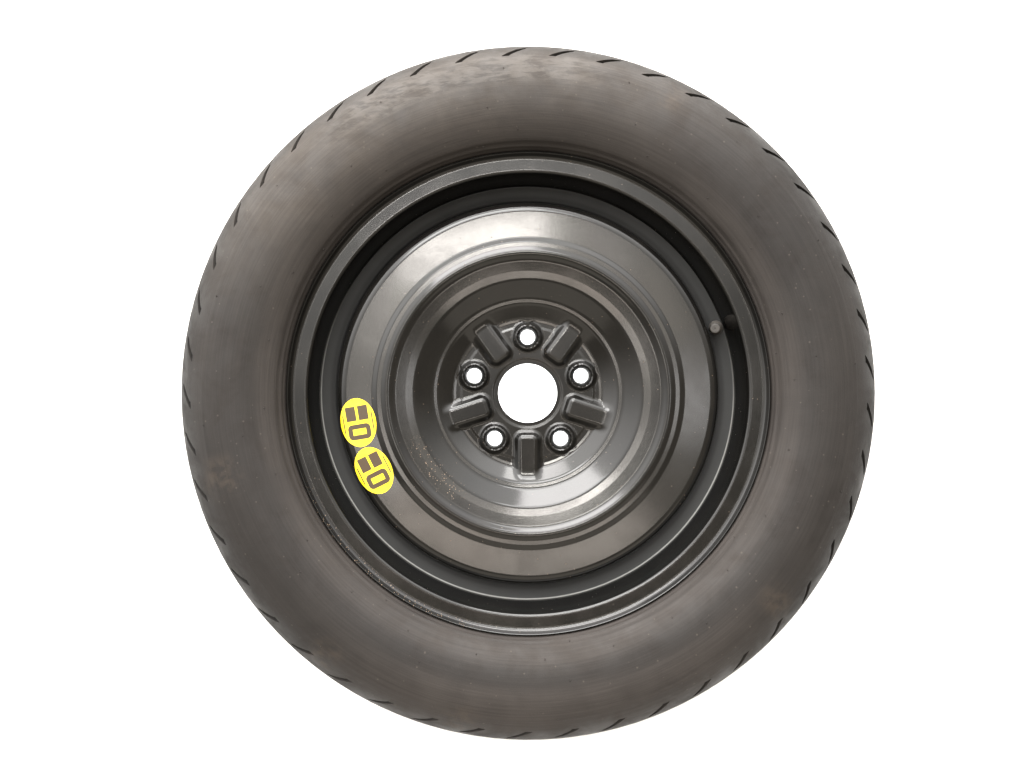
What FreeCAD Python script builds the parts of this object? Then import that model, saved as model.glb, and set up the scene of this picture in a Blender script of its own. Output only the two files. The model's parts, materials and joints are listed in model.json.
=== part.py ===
import FreeCAD, Part
import math
import os

# A narrow temporary-use car spare wheel: tyre, pressed steel wheel and snap-in valve.
# Millimetres. The origin is the wheel's centre: on the axle line, midway between the rim flanges.
# +Z points out of the outboard face, and the wheel lies on its inboard sidewall.

# Rim: one rolled sheet. Radii are of the open side, seen from the axle, unless the tyre is named.
rim_width = 101.6
rim_gauge = 2.3
bead_seat_radius = 218.3
seat_taper_drop = 2.5
flange_height = 17.6
lip_reach = 5.3
lip_flare = 2.4
lip_curl_radius = 5.5
throat_radius = 4.5
ledge_height = 12.4
ledge_slope = 17.5
ledge_width = 17.0
ledge_corner_radius = 2.5
ledge_edge_radius = 5.0
well_radius = 196.2
well_outboard_end = -4.0
well_inboard_end = -23.0
inboard_seat_end = -31.0
well_corner_radius = 6.0

# Wheel disc: one pressed sheet. Heights are of the outboard face.
disc_gauge = 3.0
pad_height = 22.0
bore_radius = 30.05
bore_land_radius = 35.0
bore_land_depth = 0.6
relief_inner_radius = 67.5
relief_outer_radius = 74.0
relief_depth = 0.7
hub_wall_foot = 76.6
hub_wall_head = 90.0
hub_wall_rise = 10.0
cone_foot_radius = 96.0
cone_foot_rise = 1.0
cone_head_radius = 118.0
cone_rise = 9.8
ridge_foot_radius = 132.6
ridge_foot_rise = 2.3
ridge_radius = 139.0
ridge_rise = 3.3
ridge_outer_radius = 145.2
ridge_outer_drop = 1.9
land_radius = 150.0
crease_radius = 154.6
annulus_height = 44.5
crown_radius = 190.5
crown_bend = 8.0
skirt_flare_start = 33.0
skirt_flare_end = 3.0
skirt_end = -14.0
skirt_fit_gap = 0.1
hub_foot_bend = 3.5
hub_head_bend = 4.0
cone_foot_bend = 6.0
cone_head_bend = 8.0
ridge_foot_bend = 5.0
ridge_bend = 4.0
ridge_outer_bend = 2.0
land_bend = 3.5
crease_bend = 2.5

# Hub pad: bolt bosses and the pressed stiffening ribs between them
bolt_count = 5
bolt_circle_radius = 57.15
first_bolt_angle = 90.0
bolt_hole_radius = 7.5
seat_mouth_radius = 11.0
seat_half_angle = 30.0
boss_foot_radius = 15.5
boss_head_radius = 12.2
boss_height = 4.5
boss_edge_radius = 1.5
rib_start = 38.7
rib_half_width = 14.5
rib_top_half_width = 6.5
rib_height = 6.0
rib_corner_radius = 6.0
rib_top_corner_radius = 3.0
rib_edge_radius = 2.0

# Welds along the skirt's inboard end
weld_count = 5
weld_arc = 20.0
weld_leg = 4.0

# Tyre
tyre_diameter = 696.0
section_width = 165.0
tread_curvature = 350.0
tread_half_width = 32.0
shoulder_radius = 32.0
crown_wall = 13.0
sidewall_wall = 7.0
inner_shoulder_radius = 20.0
lower_wall_curvature = 62.0
lower_wall_rise = 7.4
bead_width = 19.0
bead_apex_run = 11.4
bead_apex_rise = 7.6
bead_gap = 0.1
lip_gap = 1.2
groove_count = 3
groove_pitch = 24.0
groove_width = 6.0
groove_depth = 4.5
slit_count = 45
slit_width = 3.6
slit_depth = 4.6
slit_length = 60.0
slit_lean = 36.0
slit_facing = 32.0
first_slit_angle = 2.4

# Valve: distances along its own axis, from the ledge it stands on
valve_angle = 19.2
valve_seat_inset = 7.1
valve_hole_radius = 5.75
valve_fit = 0.05
valve_foot_radius = 6.0
valve_bulge_radius = 7.3
valve_bulge_height = 4.0
valve_bulge_bend = 1.5
valve_rubber_radius = 4.9
valve_rubber_end = 20.5
valve_neck_run = 4.0
valve_neck_bend = 6.0
valve_head_radius = 7.0
valve_head_edge = 1.5
valve_head_bend = 1.0
valve_head_depth = 9.0
valve_head_end_radius = 5.2
valve_head_end_bend = 1.5
stem_thread_radius = 3.85
stem_shank_radius = 3.3
stem_foot_depth = 7.0
stem_foot_flange = 0.9
stem_foot_thickness = 1.5
stem_end = 30.0
stem_throat_radius = 1.95
core_bore_radius = 2.65
core_bore_start = 23.4
core_seat_start = 21.4
core_fit = 0.05

# Valve core
plug_length = 4.4
plug_recess = 1.4
plug_bore = 0.95
plug_flat_width = 2.8
plug_flat_length = 1.8
barrel_radius = 1.8
barrel_bore = 1.25
barrel_floor = 1.1
barrel_floor_bore = 0.75
barrel_end = 15.5
barrel_seal_length = 1.5
pin_radius = 0.45
pin_recess = 0.4
pin_collar_radius = 1.05
pin_collar_length = 0.5
pin_collar_height = 22.4
cup_radius = 1.55
cup_length = 1.9
spring_wire_radius = 0.15
spring_radius = 0.88
spring_turns = 6
spring_end_gap = 0.05

# Valve cap
cap_fit = 0.2
cap_wall = 0.9
cap_roof = 1.75
cap_edge_radius = 1.2
cap_skirt_gap = 0.4
cap_dimple_radius = 0.8
cap_seal_thickness = 1.15
cap_seal_gap = 0.05

# Oval labels on the annulus
label_angles = {"label_upper": 189.7, "label_lower": 206.5}
label_radius = 170.4
label_length = 48.5
label_width = 35.5
label_film = 0.2

axle = FreeCAD.Vector(0, 0, 1)
centre = FreeCAD.Vector(0, 0, 0)
tool_reach = 20.0

# Values that follow from the sizes above
flange_plane = rim_width / 2 + rim_gauge
seat_inner_radius = bead_seat_radius - rim_gauge
lip_radius = seat_inner_radius + flange_height
ledge_radius = seat_inner_radius - seat_taper_drop
ledge_drop = ledge_width * math.tan(math.radians(ledge_slope))
mounting_plane = pad_height - disc_gauge
tyre_radius = tyre_diameter / 2
tyre_half_width = section_width / 2
widest_radius = (tyre_radius + bead_seat_radius) / 2


def at(radius, height):
    return FreeCAD.Vector(radius, 0, height)


def heading(first, second):
    """Unit direction from one corner of a path to the next."""
    run = second[0] - first[0]
    rise = second[1] - first[1]
    length = math.hypot(run, rise)
    return run / length, rise / length


def shifted(path, distance):
    """The parallel path, a distance to the left of travel, with its bends still concentric."""
    moved = []
    for index, (radius, height, bend) in enumerate(path):
        before = heading(path[max(index - 1, 0)], path[max(index, 1)])
        after = heading(path[min(index, len(path) - 2)], path[min(index + 1, len(path) - 1)])
        turn = before[0] * after[1] - before[1] * after[0]
        share = distance / (1 + before[0] * after[0] + before[1] * after[1])
        if turn * distance > 0:
            bend = max(bend - abs(distance), 0)
        else:
            bend = bend + abs(distance)
        moved_radius = radius - share * (before[1] + after[1])
        moved_height = height + share * (before[0] + after[0])
        moved.append((moved_radius, moved_height, bend))
    return moved


def rounded_edges(path):
    """Straight runs and tangent arcs along a path of (radius, height, bend) corners."""
    edges = []
    start = at(*path[0][:2])
    for before, corner, after in zip(path, path[1:], path[2:]):
        way_in = at(*heading(before, corner))
        way_out = at(*heading(corner, after))
        half_turn = way_in.getAngle(way_out) / 2
        tip = at(*corner[:2])
        bend = corner[2]
        if bend and half_turn:
            tangent = bend * math.tan(half_turn)
            arc_start = tip - way_in * tangent
            arc_end = tip + way_out * tangent
            inward = (way_out - way_in).normalize()
            arc_middle = tip + inward * (bend / math.cos(half_turn) - bend)
            edges.append(Part.LineSegment(start, arc_start).toShape())
            edges.append(Part.Arc(arc_start, arc_middle, arc_end).toShape())
            start = arc_end
        else:
            edges.append(Part.LineSegment(start, tip).toShape())
            start = tip
    edges.append(Part.LineSegment(start, at(*path[-1][:2])).toShape())
    return edges


def turned(edges, sweep=360.0):
    """Solid of revolution of a closed outline about the axle line."""
    wire = Part.Wire(Part.__sortEdges__(edges))
    return Part.Face(wire).revolve(centre, axle, sweep)


def joined_ends(first, second):
    """Two closing edges between the ends of two paths that run the same way."""
    return [
        Part.LineSegment(at(*first[0][:2]), at(*second[0][:2])).toShape(),
        Part.LineSegment(at(*first[-1][:2]), at(*second[-1][:2])).toShape(),
    ]


def turned_profile(*corners):
    """Solid of revolution of a closed polygon of (radius, height) corners."""
    points = [at(*corner) for corner in corners]
    return Part.Face(Part.makePolygon(points + points[:1])).revolve(centre, axle, 360.0)


def ring(inner, outer, low, high):
    return turned_profile((inner, low), (outer, low), (outer, high), (inner, high))


def spun(shape, angle):
    copy = shape.copy()
    copy.rotate(centre, axle, angle)
    return copy


def around(shape, count, first_angle):
    """Copies of a shape modelled on the +X side, evenly spaced about the axle line."""
    return [spun(shape, first_angle + index * 360.0 / count) for index in range(count)]


# Rim

def rim_path():
    """Open side of the rim sheet, from the outboard lip to the inboard lip."""
    return [
        (lip_radius, flange_plane + lip_reach, 0),
        (lip_radius - lip_flare, flange_plane, lip_curl_radius),
        (seat_inner_radius, flange_plane, throat_radius),
        (ledge_radius, ledge_height, ledge_corner_radius),
        (ledge_radius - ledge_width, ledge_height - ledge_drop, ledge_edge_radius),
        (well_radius, well_outboard_end, well_corner_radius),
        (well_radius, well_inboard_end, well_corner_radius),
        (ledge_radius, inboard_seat_end, ledge_corner_radius),
        (seat_inner_radius, -flange_plane, throat_radius),
        (lip_radius - lip_flare, -flange_plane, lip_curl_radius),
        (lip_radius, -flange_plane - lip_reach, 0),
    ]


def rim():
    open_side = rim_path()
    tyre_side = shifted(open_side, rim_gauge)
    outline = rounded_edges(open_side) + rounded_edges(tyre_side) + joined_ends(open_side, tyre_side)
    valve_hole = Part.makeCylinder(valve_hole_radius, 2 * tool_reach, at(0, -tool_reach), axle)
    return turned(outline).cut(on_valve_axis(valve_hole))


def rim_envelope():
    """Everything on the axle's side of the rim's tyre face, with the bead's clearance."""
    face = shifted(rim_path(), rim_gauge + bead_gap)
    inside = well_radius - tool_reach
    edges = rounded_edges(face)
    edges += rounded_edges([face[0], (inside, face[0][1], 0), (inside, face[-1][1], 0), face[-1]])
    return turned(edges)


# Wheel disc

def disc_path():
    """Outboard face of the pressed disc, from the axle line to the end of its skirt."""
    hub_head = pad_height + hub_wall_rise
    cone_foot = hub_head + cone_foot_rise
    cone_head = cone_foot + cone_rise
    ridge_foot = cone_head + ridge_foot_rise
    ridge = ridge_foot + ridge_rise
    land = ridge - ridge_outer_drop
    skirt_radius = well_radius - skirt_fit_gap
    return [
        (0, pad_height, 0),
        (hub_wall_foot, pad_height, hub_foot_bend),
        (hub_wall_head, hub_head, hub_head_bend),
        (cone_foot_radius, cone_foot, cone_foot_bend),
        (cone_head_radius, cone_head, cone_head_bend),
        (ridge_foot_radius, ridge_foot, ridge_foot_bend),
        (ridge_radius, ridge, ridge_bend),
        (ridge_outer_radius, land, ridge_outer_bend),
        (land_radius, land, land_bend),
        (crease_radius, annulus_height, crease_bend),
        (crown_radius, annulus_height, crown_bend),
        (crown_radius, skirt_flare_start, crown_bend),
        (skirt_radius, skirt_flare_end, crown_bend),
        (skirt_radius, skirt_end, 0),
    ]


def pressing(path, floor):
    """Solid below a pressed face, down to a flat floor."""
    edges = rounded_edges(path)
    edges += rounded_edges([path[0], (0, floor, 0), (path[-1][0], floor, 0)])
    if floor < path[-1][1]:
        edges += rounded_edges([(path[-1][0], floor, 0), path[-1]])
    return turned(edges)


def rounded_plate(start, end, half_width, corner, height):
    """Outline of a rectangle with rounded inner corners, lying across the +X direction."""
    points = [
        FreeCAD.Vector(end, -half_width, height),
        FreeCAD.Vector(start + corner, -half_width, height),
        FreeCAD.Vector(start, corner - half_width, height),
        FreeCAD.Vector(start, half_width - corner, height),
        FreeCAD.Vector(start + corner, half_width, height),
        FreeCAD.Vector(end, half_width, height),
    ]
    bulge = corner * (1 - math.sqrt(0.5))
    low_bend = FreeCAD.Vector(start + bulge, bulge - half_width, height)
    high_bend = FreeCAD.Vector(start + bulge, half_width - bulge, height)
    return Part.Wire([
        Part.LineSegment(points[0], points[1]).toShape(),
        Part.Arc(points[1], low_bend, points[2]).toShape(),
        Part.LineSegment(points[2], points[3]).toShape(),
        Part.Arc(points[3], high_bend, points[4]).toShape(),
        Part.LineSegment(points[4], points[5]).toShape(),
        Part.LineSegment(points[5], points[0]).toShape(),
    ])


def rib(inset, drop):
    """A pressed rib's face: inset and lowered for the hollow on the sheet's other side."""
    side_run = rib_half_width - rib_top_half_width
    foot = rounded_plate(
        rib_start + inset, hub_wall_head, rib_half_width - inset, rib_corner_radius, pad_height - drop)
    head = rounded_plate(
        rib_start + side_run + inset, hub_wall_head, rib_top_half_width - inset,
        rib_top_corner_radius, pad_height + rib_height - drop)
    return Part.makeLoft([foot, head], True, True)


def rib_outside():
    """The outboard face of a rib, with its top edge rounded."""
    solid = rib(0, 0)
    top = pad_height + rib_height
    edges = [edge for edge in solid.Edges if edge.BoundBox.ZMin > top - rib_edge_radius / 10
             and edge.BoundBox.XMin < hub_wall_head - rib_edge_radius]
    return solid.makeFillet(rib_edge_radius, edges)


def boss():
    """Raised seat round a bolt hole, solid to the mounting face."""
    top = pad_height + boss_height
    outline = [
        (0, mounting_plane, 0),
        (boss_foot_radius, mounting_plane, 0),
        (boss_foot_radius, pad_height, 0),
        (boss_head_radius, top, boss_edge_radius),
        (0, top, 0),
        (0, mounting_plane, 0),
    ]
    solid = turned(rounded_edges(outline))
    solid.translate(at(bolt_circle_radius, 0))
    return solid


def bolt_hole():
    """Through hole with the nut's conical seat."""
    top = pad_height + boss_height
    seat_depth = (seat_mouth_radius - bolt_hole_radius) / math.tan(math.radians(seat_half_angle))
    solid = turned_profile(
        (0, mounting_plane - tool_reach), (bolt_hole_radius, mounting_plane - tool_reach),
        (bolt_hole_radius, top - seat_depth), (seat_mouth_radius, top),
        (seat_mouth_radius, top + tool_reach), (0, top + tool_reach))
    solid.translate(at(bolt_circle_radius, 0))
    return solid


def wheel_disc():
    path = disc_path()
    side_slope = math.atan2(rib_height, rib_half_width - rib_top_half_width)
    hollow_inset = disc_gauge * math.tan(side_slope / 2)
    first_rib_angle = first_bolt_angle + 180.0 / bolt_count
    face = pressing(path, skirt_end)
    face = face.cut(ring(
        relief_inner_radius, relief_outer_radius, pad_height - relief_depth, pad_height + relief_depth))
    face = face.fuse(around(rib_outside(), bolt_count, first_rib_angle)
                     + around(boss(), bolt_count, first_bolt_angle))
    hollow = pressing(shifted(path, -disc_gauge), skirt_end - disc_gauge)
    hollow = hollow.fuse(around(rib(hollow_inset, disc_gauge), bolt_count, first_rib_angle))
    bore = Part.makeCylinder(bore_radius, 2 * tool_reach, at(0, pad_height - tool_reach), axle)
    land = Part.makeCylinder(bore_land_radius, tool_reach, at(0, pad_height - bore_land_depth), axle)
    holes = around(bolt_hole(), bolt_count, first_bolt_angle)
    return face.cut([hollow, bore, land] + holes).removeSplitter()


def disc_welds():
    """Fillet welds in the corner between the skirt's end and the rim well."""
    root = well_radius - skirt_fit_gap
    bead = turned(rounded_edges([
        (root, skirt_end, 0),
        (root, skirt_end - weld_leg, 0),
        (root - weld_leg, skirt_end, 0),
        (root, skirt_end, 0),
    ]), weld_arc)
    first_angle = first_bolt_angle - weld_arc / 2
    return Part.makeCompound(around(bead, weld_count, first_angle))


# Tyre

def shoulder_bends(crown, curvature, shoulder, half_width):
    """Centre, size, first and last angle of the tread, shoulder and upper sidewall arcs."""
    tread_centre = crown - curvature
    tread_edge = tread_centre + math.sqrt(curvature ** 2 - tread_half_width ** 2)
    share = shoulder / curvature
    bend_radius = tread_edge + (tread_centre - tread_edge) * share
    bend_height = tread_half_width * (1 - share)
    run = bend_radius - widest_radius
    rise = bend_height - half_width
    wall = (shoulder ** 2 - run ** 2 - rise ** 2) / (2 * (rise + shoulder))
    wall_height = half_width - wall
    wall_angle = math.atan2(bend_height - wall_height, run)
    tread_angle = math.atan2(tread_half_width, tread_edge - tread_centre)
    return [
        (tread_centre, 0, curvature, 0, tread_angle),
        (bend_radius, bend_height, shoulder, tread_angle, wall_angle),
        (widest_radius, wall_height, wall, wall_angle, math.pi / 2),
    ]


def bend_point(bend, angle):
    radius, height, size = bend[:3]
    return at(radius + size * math.cos(angle), height + size * math.sin(angle))


def shoulder_arcs(crown, curvature, shoulder, half_width):
    """Tread, shoulder and upper sidewall arcs of one side, tangent to each other."""
    arcs = []
    for bend in shoulder_bends(crown, curvature, shoulder, half_width):
        first, last = bend[3:]
        points = [bend_point(bend, angle) for angle in (first, (first + last) / 2, last)]
        arcs.append(Part.Arc(*points).toShape())
    return arcs


def lower_wall(half_width, curvature):
    """Arc from the tyre's widest point in towards the rim, and the point it ends at."""
    lip = shifted(rim_path(), rim_gauge)[0]
    sweep = math.asin((widest_radius - lip[0] - lower_wall_rise) / lower_wall_curvature)
    height = half_width - curvature
    points = [
        at(widest_radius - curvature * math.sin(angle), height + curvature * math.cos(angle))
        for angle in (0, sweep / 2, sweep)
    ]
    return Part.Arc(*points).toShape(), points[-1]


def tyre_half_outline():
    """Outboard half of the casing's section; its bead reaches into the rim and is trimmed there."""
    lip = shifted(rim_path(), rim_gauge)[0]
    toe_height = rim_width / 2 - bead_width
    outer_arc, outer_end = lower_wall(tyre_half_width, lower_wall_curvature)
    inner_arc, inner_end = lower_wall(tyre_half_width - sidewall_wall, lower_wall_curvature - sidewall_wall)
    bead_outline = [
        (outer_end.x, outer_end.z, 0),
        (lip[0] + lip_gap, lip[1], 0),
        (lip[0] - rim_gauge, lip[1] - rim_gauge / 2, 0),
        (lip_radius - lip_flare - lip_curl_radius, flange_plane - rim_gauge / 2, 0),
        (seat_inner_radius, flange_plane - throat_radius, 0),
        (ledge_radius, toe_height, 0),
        (bead_seat_radius + bead_apex_run, toe_height + bead_apex_rise, 0),
        (inner_end.x, inner_end.z, 0),
    ]
    edges = shoulder_arcs(tyre_radius, tread_curvature, shoulder_radius, tyre_half_width)
    edges += shoulder_arcs(
        tyre_radius - crown_wall, tread_curvature - crown_wall,
        inner_shoulder_radius, tyre_half_width - sidewall_wall)
    return edges + [outer_arc, inner_arc] + rounded_edges(bead_outline)


def tread_radius(height):
    return tyre_radius - tread_curvature + math.sqrt(tread_curvature ** 2 - height ** 2)


def tread_groove(height):
    surface = tread_radius(height)
    return ring(surface - groove_depth, surface + groove_depth,
                height - groove_width / 2, height + groove_width / 2)


def tread_slits():
    """Slanting slits over both shoulders: each has a straight floor and runs out at its two ends."""
    upper_wall = shoulder_bends(tyre_radius, tread_curvature, shoulder_radius, tyre_half_width)[-1]
    slab = Part.makeBox(slit_length, slit_width, slit_depth + tool_reach)
    slab.translate(FreeCAD.Vector(-slit_length / 2, -slit_width / 2, -slit_depth))
    slab.rotate(centre, axle, -slit_lean)
    slab.rotate(centre, FreeCAD.Vector(0, 1, 0), 90.0 - slit_facing)
    slab.translate(bend_point(upper_wall, math.radians(slit_facing)))
    inboard = slab.copy()
    inboard.rotate(centre, FreeCAD.Vector(1, 0, 0), 180.0)
    return around(slab, slit_count, first_slit_angle) + around(inboard, slit_count, -first_slit_angle)


def tyre():
    half = tyre_half_outline()
    section = half + [edge.mirror(centre, axle) for edge in half]
    casing = turned(section).cut(rim_envelope())
    middle = (groove_count - 1) / 2
    grooves = [tread_groove((index - middle) * groove_pitch) for index in range(groove_count)]
    return casing.cut(grooves + tread_slits())


# Valve

def on_valve_axis(shape):
    """Move a shape from its own upright axis to the valve's place on the rim ledge."""
    seat_radius = ledge_radius - valve_seat_inset
    seat_height = ledge_height - valve_seat_inset * math.tan(math.radians(ledge_slope))
    moved = shape.copy()
    moved.rotate(centre, FreeCAD.Vector(0, 1, 0), -ledge_slope)
    moved.translate(at(seat_radius, seat_height))
    return spun(moved, valve_angle)


def valve_body():
    """Moulded rubber: a head inside the rim, a neck in the hole and a tapering stem cover."""
    neck = valve_hole_radius - valve_fit
    head_top = -rim_gauge - valve_fit
    outline = rounded_edges([
        (0, -valve_head_depth, 0),
        (valve_head_end_radius, -valve_head_depth, valve_head_end_bend),
        (valve_head_radius, head_top - valve_head_edge, valve_head_bend),
        (valve_head_radius, head_top, 0),
        (neck, head_top, 0),
        (neck, valve_fit, 0),
        (valve_foot_radius, valve_fit, 0),
        (valve_bulge_radius, valve_bulge_height, valve_bulge_bend),
        (valve_rubber_radius, valve_rubber_end - valve_neck_run, valve_neck_bend),
        (valve_rubber_radius, valve_rubber_end, 0),
        (0, valve_rubber_end, 0),
        (0, -valve_head_depth, 0),
    ])
    stem_space = valve_stem_outline(valve_fit)
    air_way = Part.makeCylinder(stem_throat_radius, tool_reach, at(0, -tool_reach), axle)
    return turned(outline).cut([stem_space, air_way])


def valve_stem_outline(gap):
    shank = stem_shank_radius + gap
    foot = shank + stem_foot_flange
    foot_bottom = -stem_foot_depth - gap
    foot_top = stem_foot_thickness - stem_foot_depth + gap
    thread_start = valve_rubber_end + gap
    return turned_profile(
        (0, foot_bottom), (foot, foot_bottom), (foot, foot_top), (shank, foot_top), (shank, thread_start),
        (stem_thread_radius, thread_start), (stem_thread_radius, stem_end), (0, stem_end))


def valve_stem():
    """Brass insert: its foot and shank are bonded in the rubber, and its end carries the cap."""
    mouth = stem_end + tool_reach
    bore = turned_profile(
        (0, -tool_reach), (stem_throat_radius, -tool_reach), (stem_throat_radius, core_seat_start),
        (core_bore_radius, core_bore_start), (core_bore_radius, mouth), (0, mouth))
    return valve_stem_outline(0).cut(bore)


def core_plug():
    """Threaded plug that holds the core, with two flats for the key."""
    top = stem_end - plug_recess
    solid = ring(plug_bore, core_bore_radius - core_fit, top - plug_length, top)
    flat_space = 2 * core_bore_radius
    for side in (-1, 1):
        space = Part.makeBox(flat_space, flat_space, plug_flat_length)
        offset = side * (plug_flat_width + flat_space) / 2
        space.translate(FreeCAD.Vector(-core_bore_radius, offset - core_bore_radius, top - plug_flat_length))
        solid = solid.cut(space)
    return solid


def core_barrel():
    """Tube under the plug: its floor carries the spring, and its end is the air seat."""
    top = stem_end - plug_recess - plug_length - core_fit
    floor_top = barrel_end + barrel_floor
    return turned_profile(
        (barrel_floor_bore, barrel_end), (barrel_radius, barrel_end), (barrel_radius, top),
        (barrel_bore, top), (barrel_bore, floor_top), (barrel_floor_bore, floor_top))


def barrel_seal():
    """Conical ring that seals the barrel in the stem."""
    inner = barrel_radius + core_fit
    slope = (core_bore_radius - stem_throat_radius) / (core_bore_start - core_seat_start)
    low = core_bore_start - barrel_seal_length
    low_radius = stem_throat_radius + slope * (low - core_seat_start) - core_fit
    top_radius = core_bore_radius - core_fit
    return turned_profile(
        (inner, low), (low_radius, low), (top_radius, core_bore_start), (inner, core_bore_start))


def core_pin():
    """The pin that is pressed to let air in or out, with the collar that the spring pushes."""
    top = stem_end - pin_recess
    collar_top = pin_collar_height + pin_collar_length
    bottom = barrel_end - spring_end_gap - cup_length
    return turned_profile(
        (0, bottom), (pin_radius, bottom), (pin_radius, pin_collar_height),
        (pin_collar_radius, pin_collar_height), (pin_collar_radius, collar_top),
        (pin_radius, collar_top), (pin_radius, top), (0, top))


def pin_cup():
    """Rubber-faced cup on the pin's inner end, which closes the barrel."""
    top = barrel_end - spring_end_gap
    return ring(pin_radius + core_fit, cup_radius, top - cup_length, top)


def core_spring():
    """Return spring between the barrel's floor and the pin's collar."""
    low = barrel_end + barrel_floor + spring_wire_radius + spring_end_gap
    high = pin_collar_height - spring_wire_radius - spring_end_gap
    line = Part.makeHelix((high - low) / spring_turns, high - low, spring_radius)
    section = Part.Wire(Part.makeCircle(spring_wire_radius, at(spring_radius, 0), FreeCAD.Vector(0, 1, 0)))
    coil = Part.Wire(line).makePipeShell([section], True, True)
    coil.translate(at(0, low))
    return coil


def valve_cap():
    """Moulded screw cap with a small dimple in its rounded top."""
    bore = stem_thread_radius + cap_fit
    outer = bore + cap_wall
    skirt = valve_rubber_end + cap_skirt_gap
    roof = stem_end + cap_seal_thickness + 2 * cap_seal_gap
    top = roof + cap_roof
    outline = rounded_edges([
        (bore, skirt, 0),
        (outer, skirt, 0),
        (outer, top, cap_edge_radius),
        (cap_dimple_radius, top, 0),
        (0, top - cap_dimple_radius, 0),
        (0, roof, 0),
        (bore, roof, 0),
        (bore, skirt, 0),
    ])
    return turned(outline)


def cap_seal():
    """Rubber disc in the cap's roof, resting on the stem's end."""
    low = stem_end + cap_seal_gap
    return Part.makeCylinder(stem_thread_radius, cap_seal_thickness, at(0, low), axle)


# Labels

def label(angle):
    """Oval film that follows the pressed face it is stuck to."""
    path = disc_path()
    film = pressing(shifted(path, label_film), skirt_end).cut(pressing(path, skirt_end - label_film))
    oval = Part.Ellipse(centre, label_length / 2, label_width / 2).toShape()
    prism = Part.Face(Part.Wire(oval)).extrude(at(0, annulus_height + tool_reach))
    prism.rotate(centre, axle, 90)
    prism.translate(at(label_radius, annulus_height - tool_reach))
    return spun(film.common(prism), angle)


def build():
    pieces = {
        "tyre": tyre(),
        "rim": rim(),
        "wheel_disc": wheel_disc(),
        "disc_welds": disc_welds(),
    }
    for make in (valve_body, valve_stem, core_plug, core_barrel, barrel_seal, core_pin, pin_cup,
                 core_spring, valve_cap, cap_seal):
        pieces[make.__name__] = on_valve_axis(make())
    for name, angle in label_angles.items():
        pieces[name] = label(angle)
    os.makedirs("parts", exist_ok=True)
    for name, shape in pieces.items():
        shape.exportStep("parts/" + name + ".step")
        print(name, len(shape.Solids), "solid", round(shape.Volume), "mm3", "valid", shape.isValid())


build()
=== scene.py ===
import json
import math
import bmesh
import bpy
import numpy as np
from mathutils import Matrix, Vector


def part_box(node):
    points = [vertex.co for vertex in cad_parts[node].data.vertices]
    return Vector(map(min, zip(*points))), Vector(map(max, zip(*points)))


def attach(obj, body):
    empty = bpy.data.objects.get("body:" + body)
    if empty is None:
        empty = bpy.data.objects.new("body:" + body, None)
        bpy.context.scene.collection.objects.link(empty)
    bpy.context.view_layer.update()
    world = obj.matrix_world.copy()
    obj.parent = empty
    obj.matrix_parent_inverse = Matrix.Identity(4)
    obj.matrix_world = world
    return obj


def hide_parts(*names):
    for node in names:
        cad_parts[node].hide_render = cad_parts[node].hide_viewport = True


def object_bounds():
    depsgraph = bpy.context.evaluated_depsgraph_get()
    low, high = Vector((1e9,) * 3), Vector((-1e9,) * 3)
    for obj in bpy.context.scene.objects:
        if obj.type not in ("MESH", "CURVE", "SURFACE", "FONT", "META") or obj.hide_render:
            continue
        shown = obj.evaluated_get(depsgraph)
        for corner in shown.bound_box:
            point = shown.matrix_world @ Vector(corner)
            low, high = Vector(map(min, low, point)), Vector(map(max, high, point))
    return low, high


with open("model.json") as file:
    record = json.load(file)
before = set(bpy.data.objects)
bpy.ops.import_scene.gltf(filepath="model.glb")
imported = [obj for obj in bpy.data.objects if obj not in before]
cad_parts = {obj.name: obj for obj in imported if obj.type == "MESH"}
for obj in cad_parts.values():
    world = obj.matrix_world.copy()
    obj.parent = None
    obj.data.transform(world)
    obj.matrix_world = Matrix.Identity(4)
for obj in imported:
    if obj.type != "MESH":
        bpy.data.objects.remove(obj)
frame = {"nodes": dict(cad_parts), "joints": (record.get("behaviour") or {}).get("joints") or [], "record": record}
cadLow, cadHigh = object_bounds()
record = frame["record"]
mm = 0.001   # sizes below are millimetres, the scene is metres
print("frame loaded:", len(frame["nodes"]), "nodes")


# Outlines and meshes

def unit(vector):
    return vector / np.linalg.norm(vector)


def leftOf(way):
    return np.array([-way[1], way[0]])


def bentRun(corners, runStep, bendStep=6.0, hold=0.35):
    # points and left-hand normals along straight runs joined by round bends
    points, normals = [], []

    def straight(start, end):
        length = np.linalg.norm(end - start)
        if length < 1e-6:
            return
        shares = np.linspace(0, 1, max(1, math.ceil(length / runStep)) + 1)[:-1]
        if length > 4 * hold:
            # a point close to each end keeps the run's shading flat
            shares = np.unique(np.concatenate([shares, [hold / length, 1 - hold / length]]))
        for share in shares:
            points.append(start + (end - start) * share)
            normals.append(leftOf((end - start) / length))

    start = np.array(corners[0][:2], float)
    for before, corner, after in zip(corners, corners[1:], corners[2:]):
        tip = np.array(corner[:2], float)
        wayIn = unit(tip - np.array(before[:2], float))
        wayOut = unit(np.array(after[:2], float) - tip)
        turn = math.atan2(wayIn[0] * wayOut[1] - wayIn[1] * wayOut[0], wayIn @ wayOut)
        bend = corner[2]
        reach = bend * math.tan(abs(turn) / 2)
        arcStart = tip - wayIn * reach
        straight(start, arcStart)
        side = math.copysign(1, turn)
        middle = arcStart + side * bend * leftOf(wayIn)
        count = max(2, math.ceil(math.degrees(abs(turn)) / bendStep))
        for step in range(count if bend else 0):
            angle = turn * step / count
            c, s = math.cos(angle), math.sin(angle)
            first = leftOf(wayIn)
            normal = np.array([c * first[0] - s * first[1], s * first[0] + c * first[1]])
            points.append(middle - side * bend * normal)
            normals.append(normal)
        start = tip + wayOut * reach
    end = np.array(corners[-1][:2], float)
    way = unit(end - start)
    straight(start, end)
    points.append(end)
    normals.append(leftOf(way))
    return np.array(points), np.array(normals)


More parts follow.
